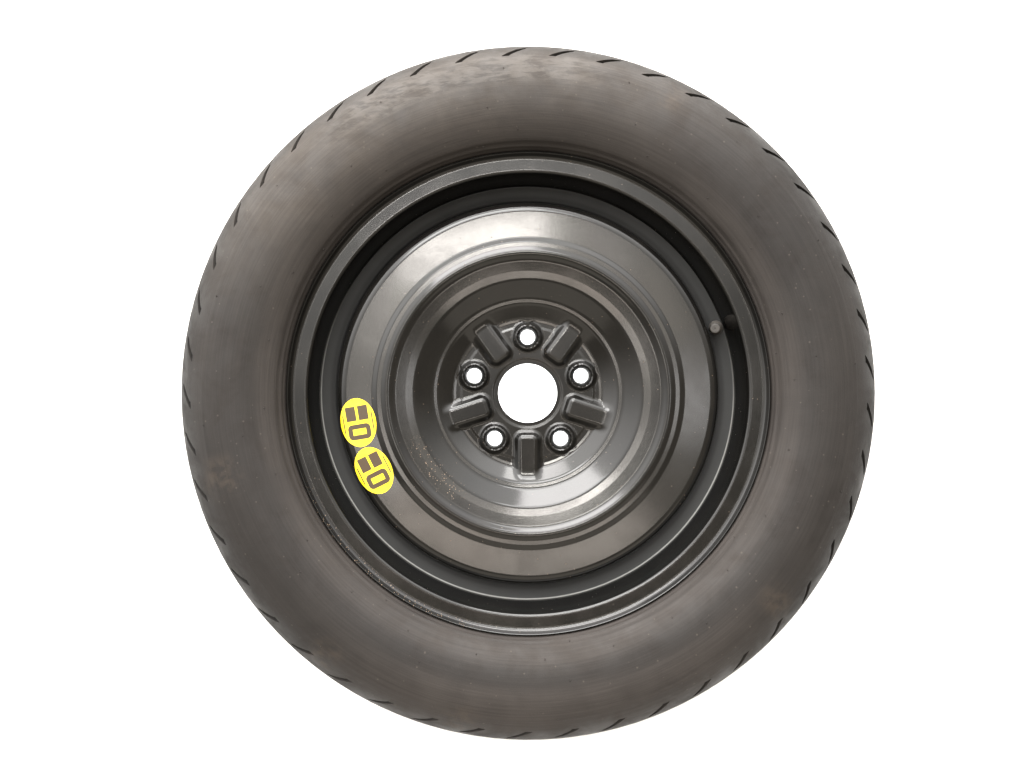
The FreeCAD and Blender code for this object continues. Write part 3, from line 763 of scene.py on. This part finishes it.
def openHoles(frontGrid, backGrid):
    # marks the cells inside the bolt holes and pulls the points round them onto the circle
    size = discSize
    rows, columns = frontGrid.shape[:2]
    beside = np.roll(frontGrid, -1, axis=1)
    cell = (frontGrid[:-1] + beside[:-1] + frontGrid[1:] + beside[1:]) / 4
    gone = np.zeros(cell.shape[:2], bool)
    mouth, halfAngle, _ = size["seat"]
    seatLow = size["pad"] + size["boss"][2] - (mouth - size["boltHole"]) / math.tan(math.radians(halfAngle))
    for index in range(size["boltCount"]):
        angle = boltAngle(index)
        middle = size["boltCircle"] * np.array([math.cos(angle), math.sin(angle)])
        inside = np.hypot(cell[..., 0] - middle[0], cell[..., 1] - middle[1]) < size["boltHole"]
        gone |= inside
        touched = np.zeros((rows, columns), int)
        for shiftRow in (0, 1):
            for shiftColumn in (0, 1):
                touched[shiftRow:rows - 1 + shiftRow] += np.roll(inside, shiftColumn, axis=1)
        edge = (touched > 0) & (touched < 4)
        off = frontGrid[edge][:, :2] - middle
        snapped = middle + off / np.linalg.norm(off, axis=1)[:, None] * size["boltHole"]
        for grid, height in ((frontGrid, seatLow), (backGrid, size["pad"] - size["gauge"])):
            grid[edge] = np.column_stack([snapped, np.full(len(snapped), height)])
    return gone


def makeDisc():
    frontGrid, backGrid = discGrids()
    gone = openHoles(frontGrid, backGrid)
    rows, columns = frontGrid.shape[:2]
    count = rows * columns
    faces = []
    for row in range(rows - 1):
        here, there = row * columns, (row + 1) * columns
        for column in range(columns):
            if gone[row, column]:
                continue
            beside = (column + 1) % columns
            quad = (here + column, here + beside, there + beside, there + column)
            faces.append(quad)
            faces.append(tuple(count + corner for corner in reversed(quad)))
            # a narrow wall joins both faces wherever the sheet ends
            for shiftRow, shiftColumn, a, b in ((-1, 0, 0, 1), (0, 1, 1, 2), (1, 0, 2, 3), (0, -1, 3, 0)):
                otherRow = row + shiftRow
                outside = otherRow < 0 or otherRow > rows - 2
                if outside or gone[otherRow, (column + shiftColumn) % columns]:
                    faces.append((quad[b], quad[a], count + quad[a], count + quad[b]))
    points = np.vstack([frontGrid.reshape(-1, 3), backGrid.reshape(-1, 3)])
    used = np.unique(np.concatenate([np.array(face) for face in faces]))
    renumber = np.zeros(len(points), int)
    renumber[used] = np.arange(len(used))
    faces = [tuple(int(renumber[corner]) for corner in face) for face in faces]
    piece = makePiece("discPressing", points[used], faces, paintMaterial, "wheel", sharp=38.0)
    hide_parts("wheel_disc")


# Welds in the corner behind the skirt

weldSize = {
    "count": 5,
    "firstAngle": 90.0,
    "arc": 20.0,
    "leg": 4.0,
    "fullness": (0.97, 0.05),   # share of the leg at the middle, least leg at the ends
    "root": (196.1, -14.0),     # radius, height
    "ripple": 0.25,
    "steps": 72,
    "sides": 7,
}


def makeWelds():
    size = weldSize
    points, faces = [], []
    full, least = size["fullness"]
    side = size["sides"] + 1
    for weld in range(size["count"]):
        middle = size["firstAngle"] + weld * 360 / size["count"]
        first = len(points)
        for step in range(size["steps"] + 1):
            share = step / size["steps"]
            angle = math.radians(middle + (share - 0.5) * size["arc"])
            plump = size["leg"] * math.sqrt(max(0.0, 1 - (2 * share - 1) ** 8)) * full + least
            plump *= 1 - size["ripple"] / size["leg"] * (0.5 + 0.5 * math.cos(step * math.pi / 2))
            ring = np.vstack([size["root"], arcRun(size["root"], plump, 180, 270, size["sides"])])
            points += [(r * math.cos(angle), r * math.sin(angle), z) for r, z in ring]
        for step in range(size["steps"]):
            for corner in range(side):
                a = first + step * side + corner
                b = first + step * side + (corner + 1) % side
                faces.append((a, b, b + side, a + side))
        faces.append(tuple(range(first, first + side)))
        faces.append(tuple(range(first + size["steps"] * side, first + (size["steps"] + 1) * side)))
    piece = makePiece("weldBeads", points, faces, paintMaterial, "wheel", sharp=60.0)
    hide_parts("disc_welds")


# Tyre: casing with tread grooves, shoulder slits and moulded lines

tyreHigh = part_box("tyre")[1]
tyreSize = {
    "radius": tyreHigh.x / mm,
    "halfWidth": tyreHigh.z / mm,
    "widest": 283.15,
    "treadCurve": 350.0,
    "treadHalf": 32.0,
    "shoulder": 32.0,
    "lowerCurve": 62.0,
    "lowerSweep": 40.24,
    "lipMeet": (237.0, 57.9),
    "lipFoot": (236.0, 53.6),
    "wall": 7.0,
    "crownWall": 13.0,
    "innerShoulder": 20.0,
    "beadToe": 31.8,
    "beadGap": 0.1,
    "groovePlaces": (0.0, 24.0),
    "groove": (2.6, 3.0, 4.5, 0.3),     # half width of floor and mouth, depth of floor and mouth
    "grooveRows": (-3.5, -2.95, -2.5, 0.0, 2.5, 2.95, 3.5),
    "treadRows": (0.0, 7.0, 11.0, 15.0, 18.0, 29.5),
    "slitCount": 45,
    "slitHalf": 3.9,            # round the tyre
    "slitLines": (-1.55, -1.1, -0.95, 0.95, 1.1, 1.55),   # columns at a slit, whose edges are at 1.1
    "slitEdge": 1.1,
    "slitDepth": 4.6,
    "slitStart": 36.0,          # along the section from the crown
    "slitDeepest": 67.0,
    "slitEnd": 75.5,
    "slitNarrow": (57.5, 62.0, 0.22),   # where a slit closes to a crack, and how far
    "slitLean": 0.20,           # degrees for each millimetre along the section
    "slitAngle": 4.3,           # of the first slit where it is deepest
    "slitShadeDepths": (0.4, 1.6),     # depths between which the painted shade begins
    "rimLine": (239.4, 0.9, 0.55),      # radius, half width, height
    "partingLine": (309.6, 0.7, 0.30),
}


def shoulderArcs(crown, curve, bend, halfWidth, counts):
    # tread, shoulder and upper wall, each meeting the next without a kink
    widest, treadHalf = tyreSize["widest"], tyreSize["treadHalf"]
    middle = crown - curve
    edge = middle + math.sqrt(curve ** 2 - treadHalf ** 2)
    share = bend / curve
    bendPlace = (edge + (middle - edge) * share, treadHalf * (1 - share))
    run, rise = bendPlace[0] - widest, bendPlace[1] - halfWidth
    wall = (bend ** 2 - run ** 2 - rise ** 2) / (2 * (rise + bend))
    wallPlace = (widest, halfWidth - wall)
    wallAngle = math.degrees(math.atan2(bendPlace[1] - wallPlace[1], run))
    treadAngle = math.degrees(math.asin(treadHalf / curve))
    return (arcRun((middle, 0), curve, 0, treadAngle, counts[0]),
            arcRun(bendPlace, bend, treadAngle, wallAngle, counts[1])[1:],
            arcRun(wallPlace, wall, wallAngle, 90, counts[2])[1:])


def tyreHalf():
    # outside of the outboard half from the crown to the rim's lip, and the inside back to the crown
    size = tyreSize
    radius, curve, halfWidth = size["radius"], size["treadCurve"], size["halfWidth"]
    shoulder, wall = shoulderArcs(radius, curve, size["shoulder"], halfWidth, (2, 12, 48))[1:]
    # the tread's rows lie close together at its grooves
    heights = {*size["treadRows"], size["treadHalf"]}
    for groove in size["groovePlaces"]:
        heights |= {abs(groove + off) for off in size["grooveRows"]}
    heights = np.array(sorted(heights))
    crown = np.column_stack([radius - curve + np.sqrt(curve ** 2 - heights ** 2), heights])
    lowerPlace = (size["widest"], halfWidth - size["lowerCurve"])
    lowerEnd = 90 + size["lowerSweep"]
    lower = arcRun(lowerPlace, size["lowerCurve"], 90, lowerEnd, 16)[1:]
    last = np.linspace(0, 1, 12)[1:, None]
    lip = lower[-1] + (np.array(size["lipMeet"]) - lower[-1]) * last
    outside = np.vstack([crown, shoulder, wall, lower, lip, [size["lipFoot"]]])
    # bead along the rim's tyre side, then the inside of the casing
    rimPoints, rimNormals = bentRun(rimSize["corners"][:4], 4.0, 15.0)
    bead = rimPoints + rimNormals * (rimSize["gauge"] + size["beadGap"])
    bead = bead[(bead[:, 1] > size["beadToe"]) & (bead[:, 1] < size["lipFoot"][1] - 0.3)]
    upper = shoulderArcs(radius - size["crownWall"], curve - size["crownWall"], size["innerShoulder"],
                         halfWidth - size["wall"], (4, 4, 5))
    innerLower = arcRun(lowerPlace, size["lowerCurve"] - size["wall"], 90, lowerEnd, 5)[1:]
    inside = np.vstack([*upper, innerLower])[::-1]
    return outside, np.vstack([bead, inside[:-1]])


def pushedSection(outside, along):
    # moulded lines and tread grooves push the section in or out along its own normal
    size = tyreSize
    way = np.gradient(outside, axis=0)
    out = np.column_stack([way[:, 1], -way[:, 0]])
    out = out / np.linalg.norm(out, axis=1)[:, None]
    push = np.zeros(len(outside))
    for radius, half, rise in (size["rimLine"], size["partingLine"]):
        near = (outside[:, 1] > 50) & (np.abs(outside[:, 0] - radius) < half * 1.3)
        push[near] += rise * np.clip(1.3 - np.abs(outside[near, 0] - radius) / half, 0, 1)
    floorHalf, mouthHalf, floorDepth, mouthDepth = size["groove"]
    for groove in size["groovePlaces"]:
        off = np.abs(outside[:, 1] - groove)
        cut = np.where(off < floorHalf, floorDepth, np.where(off < mouthHalf, mouthDepth, 0.0))
        push -= (along < size["treadHalf"]) * cut
    return outside + out * push[:, None], out


def makeTyre():
    size = tyreSize
    outside, hidden = tyreHalf()
    steps = np.linalg.norm(np.diff(outside, axis=0), axis=1)
    along = np.concatenate([[0], np.cumsum(steps)])
    outside, out = pushedSection(outside, along)
    section = np.vstack([outside[::-1], outside[1:] * (1, -1)])
    signed = np.concatenate([along[::-1], -along[1:]])
    normal = np.vstack([out[::-1], out[1:] * (1, -1)])
    inner = np.vstack([hidden * (1, -1), hidden[::-1][1:]])
    # columns bunch at each slit and lean with it
    slits, deepest, end = size["slitCount"], size["slitDeepest"], size["slitEnd"]
    pitch = 360 / slits
    millimetre = math.degrees(1 / size["radius"])
    lines = np.array(size["slitLines"]) / size["slitEdge"] * size["slitHalf"] * millimetre
    plain = np.linspace(lines[-1], pitch + lines[0], 4)[1:-1]
    angles = (np.arange(slits)[:, None] * pitch + np.concatenate([lines, plain])).ravel()
    angles = angles + size["slitAngle"] - size["slitLean"] * deepest
    floor = np.tile(np.concatenate([[0, 0, 1, 1, 0, 0], np.zeros(len(plain))]), slits)
    lean = np.clip(signed, -end, end) * size["slitLean"]
    off = np.abs(signed) - deepest
    reach = np.where(off < 0, deepest - size["slitStart"], end - deepest)
    cut = np.clip(1 - (off / reach) ** 6, 0, 1)
    depth = size["slitDepth"] * cut[:, None] * floor[None, :]
    r = section[:, 0, None] - normal[:, 0, None] * depth
    z = section[:, 1, None] - normal[:, 1, None] * depth
    first, last, least = size["slitNarrow"]
    width = least + (1 - least) * smoothStep(np.abs(signed), first, last)
    edges = np.tile(np.concatenate([lines, np.zeros(len(plain))]), slits)
    turn = np.radians(angles[None, :] + lean[:, None] + (width[:, None] - 1) * edges[None, :])
    outer = np.stack([r * np.cos(turn), r * np.sin(turn), z], axis=-1).reshape(-1, 3)
    # the inside leans back from one bead to the other
    share = np.linspace(lean[-1], lean[0], len(inner) + 2)[1:-1]
    turn = np.radians(angles[None, :] + share[:, None])
    r, z = inner[:, 0, None], inner[:, 1, None] + 0 * turn
    lining = np.stack([r * np.cos(turn), r * np.sin(turn), z], axis=-1).reshape(-1, 3)
    # the slits' depth gives a mask of painted shade
    dirtAndShade = np.concatenate([smoothStep(depth, *size["slitShadeDepths"]).ravel(), np.zeros(len(lining))])
    faces = gridFaces(len(section) + len(inner), len(angles), True)
    piece = makePiece("tyreCasing", np.vstack([outer, lining]), faces, tyreMaterial, "wheel",
                      sharp=35.0, dirtAndShade=dirtAndShade)
    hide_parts("tyre")


# Vent nibs left by the mould on the sidewall

nibSize = {
    "rings": (   # radius, count, first angle
        (252.0, 24, 3.0), (241.0, 8, 10.0), (272.0, 12, 8.0), (309.0, 16, 5.0)),
    "radius": 0.55,
    "height": 1.3,
    "sink": 0.4,
    "under": 0.05,              # below the tyre's full width
    "profile": ((0.0, 1.25), (0.45, 0.9), (1.0, 0.7)),   # share of the height, share of the radius
    "scatter": 0.6,             # degrees
    "bend": 0.35,
    "tallness": (0.6, 1.15),
    "sides": 8,
    "seed": 7,
}


def sidewallHeight(radius):
    outside = tyreHalf()[0]
    wall = outside[outside[:, 1] > 55]
    order = np.argsort(wall[:, 0])
    return float(np.interp(radius, wall[order, 0], wall[order, 1]))


def makeNibs():
    size = nibSize
    points, faces = [], []
    sides, sink = size["sides"], size["sink"]
    highest = tyreSize["halfWidth"] - size["under"]
    random = np.random.default_rng(size["seed"])
    for radius, count, firstAngle in size["rings"]:
        foot = sidewallHeight(radius) - sink
        for index in range(count):
            scatter = random.uniform(-size["scatter"], size["scatter"])
            angle = math.radians(firstAngle + index * 360 / count + scatter)
            middle = np.array([radius * math.cos(angle), radius * math.sin(angle)])
            bend = random.uniform(-size["bend"], size["bend"], 2)
            tall = size["height"] * random.uniform(*size["tallness"])
            first = len(points)
            for share, swell in size["profile"]:
                for side in range(sides):
                    turn = side * 2 * math.pi / sides
                    spoke = size["radius"] * swell * np.array([math.cos(turn), math.sin(turn)])
                    x, y = middle + bend * share ** 2 + spoke
                    points.append((x, y, min(foot + share * (tall + sink), highest)))
            for ring in range(2):
                for side in range(sides):
                    a = first + ring * sides + side
                    b = first + ring * sides + (side + 1) % sides
                    faces.append((a, b, b + sides, a + sides))
            faces.append(tuple(range(first, first + sides)))
            faces.append(tuple(range(first + 2 * sides, first + 3 * sides)))
    makePiece("ventNibs", points, faces, tyreMaterial, "wheel")


# Valve: turned pieces on the valve's own axis

capJoint = next(joint for joint in frame["joints"] if joint["name"] == "valve_cap_turn")
valveAxis = Vector(capJoint["axis"]).normalized()
valveSide = Vector((0, 0, 1)).cross(valveAxis).normalized()
valvePlace = Matrix.Translation(Vector(capJoint["pos_m"])) @ Matrix((
    valveSide.cross(valveAxis), valveSide, valveAxis)).transposed().to_4x4()

bodySize = {
    "outline": [   # closed round the insert: radius, distance along the axis, bend
        (3.35, 20.5, 0), (4.9, 20.5, 0.5), (4.9, 16.5, 6.0), (7.3, 4.0, 1.5), (6.0, 0.05, 0), (5.7, 0.05, 0),
        (5.7, -2.35, 0), (7.0, -2.35, 0.3), (7.0, -3.85, 1.0), (5.2, -9.0, 1.5), (1.95, -9.0, 0),
        (1.95, -7.05, 0), (4.25, -7.05, 0), (4.25, -5.45, 0), (3.35, -5.45, 0)],
    "runStep": 1.5,
    "bendStep": 8.0,
    "columns": 96,
}


def makeValveBody():
    size = bodySize
    columns = size["columns"]
    rubber = bentRun(size["outline"] + size["outline"][:1], size["runStep"], size["bendStep"])[0][:-1]
    body = makePiece("valveRubberBody", turned(rubber, columns), gridFaces(len(rubber), columns, True),
                     skins["valveRubber"], "wheel", place=valvePlace)
    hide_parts("valve_body")


# Screw cap with finger flutes

capSize = {
    "outline": [   # radius, distance along the axis, bend
        (4.05, 20.9, 0), (4.95, 20.9, 0.25), (4.95, 32.95, 1.2), (0.8, 32.95, 0.3), (0.02, 32.15, 0)],
    "inside": [(0.02, 31.25), (4.05, 31.25)],
    "flutes": 30,
    "fluteColumns": 8,
    "fluteDepth": 0.28,
    "fluteFoot": (21.9, 22.9),   # where the flutes begin and end along the axis
    "fluteHead": (29.8, 31.0),
    "fluteFrom": 4.9,            # only the upright wall is fluted
    "runStep": 0.6,
    "bendStep": 8.0,
}


def makeCap():
    size = capSize
    shell = bentRun(size["outline"], size["runStep"], size["bendStep"])[0]
    outline = np.vstack([shell, size["inside"]])
    columns = size["flutes"] * size["fluteColumns"]
    points = turned(outline, columns).reshape(len(outline), columns, 3)
    wave = 0.5 - 0.5 * np.cos(np.arange(columns) * 2 * math.pi / size["fluteColumns"])
    for row, (radius, height) in enumerate(shell):
        if radius > size["fluteFrom"]:
            depth = size["fluteDepth"] * smoothStep(height, *size["fluteFoot"])
            depth = depth * (1 - smoothStep(height, *size["fluteHead"]))
            points[row, :, :2] *= (1 - depth * wave / radius)[:, None]
    cap = makePiece("screwCap", points.reshape(-1, 3), gridFaces(len(outline), columns, True),
                    skins["capPlastic"], "valve_cap", sharp=50.0, place=valvePlace)
    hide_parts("valve_cap")


# Brass insert with its thread

stemSize = {
    "foot": [(1.95, -7.0), (4.2, -7.0), (4.2, -5.5), (3.3, -5.5), (3.3, 20.55)],   # radius, along the axis
    "mouth": [(3.5, 30.0), (2.65, 30.0), (2.65, 23.4), (1.95, 21.4)],
    "threadRadius": 3.85,
    "threadDepth": 0.34,
    "threadPitch": 0.794,
    "threadRun": (20.55, 30.0),
    "threadEnd": (0.3, 1.0),     # the thread runs out between these distances from its end
    "turnRows": 8,
    "columns": 64,
}


def makeStem():
    size = stemSize
    columns = size["columns"]
    angles = np.arange(columns) * 2 * math.pi / columns

    def ringAt(r, z):
        return np.column_stack([r * np.cos(angles), r * np.sin(angles), 0 * angles + z])

    low, high = size["threadRun"]
    rows = [ringAt(r, z) for r, z in size["foot"]]
    for height in np.arange(low, high - size["threadEnd"][0], size["threadPitch"] / size["turnRows"]):
        phase = (height / size["threadPitch"] - angles / (2 * math.pi)) % 1.0
        cutIn = size["threadDepth"] * np.abs(2 * phase - 1) * smoothStep(high - height, *size["threadEnd"])
        rows.append(ringAt(size["threadRadius"] - cutIn, height))
    rows += [ringAt(r, z) for r, z in size["mouth"]]
    stem = makePiece("stemThread", np.vstack(rows), gridFaces(len(rows), columns, True), skins["valveBrass"],
                     "wheel", sharp=50.0, place=valvePlace)
    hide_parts("valve_stem")


makeRim()
makeDisc()
makeWelds()
makeTyre()
makeNibs()
makeValveBody()
makeCap()
makeStem()

# finishes of the pieces that stay as they are
nodeFinish = {
    "core_plug": skins["valveBrass"],
    "core_barrel": skins["valveBrass"],
    "core_pin": skins["valveBrass"],
    "barrel_seal": skins["sealRubber"],
    "pin_cup": skins["sealRubber"],
    "cap_seal": skins["sealRubber"],
    "core_spring": skins["springSteel"],
    "label_upper": labelFilm("labelFilmUpper", "label_upper"),
    "label_lower": labelFilm("labelFilmLower", "label_lower"),
}
for node, material in nodeFinish.items():
    slots = frame["nodes"][node].data.materials
    slots.clear()
    slots.append(material)
print("finishes set on", len(nodeFinish), "nodes")


# Floor, light and camera

floorSize = {
    "half": 6.0,                         # metres
    "gap": 0.0002,                       # metres below the tyre
    "colour": (0.86, 0.86, 0.855, 1),
    "shade": (0.83, 0.83, 0.825, 1),
    "cloud": (0.003, 0.8, 0.6),          # scale, cover, softness
    "roughness": 0.8,
}


def makeFloor():
    size = floorSize
    mesh = bpy.data.meshes.new("floor")
    half, height = size["half"], cadLow.z - size["gap"]
    corners = [(-half, -half, height), (half, -half, height), (half, half, height), (-half, half, height)]
    mesh.from_pydata(corners, [], [(0, 1, 2, 3)])
    floor = bpy.data.objects.new("floor", mesh)
    bpy.context.scene.collection.objects.link(floor)
    material, tree, skin, place = newMaterial("paleFloor")
    cloud = veil(tree, place, *size["cloud"])
    tree.links.new(tint(tree, cloud, size["colour"], size["shade"]), skin.inputs["Base Color"])
    skin.inputs["Roughness"].default_value = size["roughness"]
    mesh.materials.append(material)


# name, degrees round from +X, degrees down from overhead, degrees across and along, radiance, colour
lightPanels = [
    ("topPanel", 105, 11.6, 56, 3.5, 34.0, (1.0, 0.955, 0.89)),
    ("leftPanel", 151, 11.6, 28, 3.8, 8.0, (1.0, 0.94, 0.86)),
    ("sidePanel", 180, 12.0, 30, 3.8, 3.2, (1.0, 0.93, 0.84)),
    ("labelPanel", 209, 12.4, 28, 3.8, 9.0, (1.0, 0.93, 0.85)),
    ("warmPanelLeft", 246, 13.5, 42, 4.2, 6.8, (1.0, 0.88, 0.77)),
    ("warmPanelRight", 291, 14.5, 46, 4.2, 7.0, (1.0, 0.90, 0.80)),
    ("gapPanel", 327, 14.5, 26, 4.2, 1.1, (1.0, 0.92, 0.80)),
    ("coolPanel", 354, 14.5, 26, 4.2, 6.4, (1.0, 0.98, 0.96)),
    ("fillPanel", 27, 13.3, 32, 3.8, 2.9, (1.0, 0.90, 0.77)),
    ("upperFill", 60, 13.0, 32, 3.8, 4.4, (1.0, 0.93, 0.84)),
    ("roomFill", 270, 50.0, 100, 34.0, 0.75, (1.0, 0.92, 0.80)),
    ("highWindow", 102, 28.5, 60, 8.0, 10.0, (1.0, 0.99, 0.97)),
    ("midWindow", 107, 40.5, 46, 14.0, 14.0, (1.0, 0.98, 0.96)),
    ("lowWindow", 95, 73.0, 44, 20.0, 12.0, (1.0, 0.97, 0.94)),
]
panelReach = 10.0   # metres from the wheel's middle
cavityLight = {"place": (0, 0, 0.012), "side": 0.15, "radiance": 12.0}
skyLevel = {
    "dim": (0.42, 0.37, 0.30, 1),      # away from the windows
    "bright": (6.75, 6.65, 6.5, 1),    # towards the windows
    "way": (-0.28, 0.96, 0.0),
    "run": (-0.25, 1.0),
}


def areaLight(name, place, aim, across, along, radiance, colour):
    lamp = bpy.data.lights.new(name, "AREA")
    lamp.shape = "RECTANGLE"
    lamp.size, lamp.size_y = across, along
    lamp.energy = radiance * math.pi * across * along
    lamp.color = colour
    panel = bpy.data.objects.new(name, lamp)
    panel.location = place
    panel.rotation_euler = (Vector(aim) - panel.location).to_track_quat("-Z", "Y").to_euler()
    panel.visible_camera = False
    bpy.context.scene.collection.objects.link(panel)


def makeLights():
    for name, azimuth, zenith, across, along, radiance, colour in lightPanels:
        turn, tilt = math.radians(azimuth), math.radians(zenith)
        way = Vector((math.sin(tilt) * math.cos(turn), math.sin(tilt) * math.sin(turn), math.cos(tilt)))
        areaLight(name, way * panelReach, (0, 0, 0),
                  2 * panelReach * math.sin(tilt) * math.tan(math.radians(across / 2)),
                  2 * panelReach * math.tan(math.radians(along / 2)), radiance, colour)
    # the floor inside the wheel is seen bright through its holes
    areaLight("cavityPanel", cavityLight["place"], (0, 0, -1), cavityLight["side"], cavityLight["side"],
              cavityLight["radiance"], (1, 1, 1))
    world = bpy.data.worlds.new("studio")
    world.use_nodes = True
    tree = world.node_tree
    look = put(tree, "ShaderNodeTexCoord").outputs["Generated"]
    towards = put(tree, "ShaderNodeVectorMath", {0: look, 1: skyLevel["way"]}, operation="DOT_PRODUCT")
    level = fade(tree, towards.outputs["Value"], *skyLevel["run"])
    sky = tint(tree, level, skyLevel["dim"], skyLevel["bright"])
    tree.links.new(sky, tree.nodes["Background"].inputs["Color"])
    bpy.context.scene.world = world


cameraSet = {
    "focalPixels": 744.0,
    "frameWidth": 1020.0,
    "sensor": 36.0,
    "place": (-18.0, 13.0, 780.0),
    "pitch": -0.16,
    "clipStart": 0.01,
}


def makeCamera():
    camera = bpy.data.cameras.new("photoCamera")
    camera.sensor_width = cameraSet["sensor"]
    camera.lens = cameraSet["focalPixels"] / cameraSet["frameWidth"] * cameraSet["sensor"]
    camera.clip_start = cameraSet["clipStart"]
    holder = bpy.data.objects.new("photoCamera", camera)
    holder.location = Vector(cameraSet["place"]) * mm
    holder.rotation_euler = (math.radians(cameraSet["pitch"]), 0, 0)
    bpy.context.scene.collection.objects.link(holder)
    bpy.context.scene.camera = holder
    bpy.context.scene.view_settings.view_transform = "Standard"


makeFloor()
makeLights()
makeCamera()
print("stage, light and camera set")
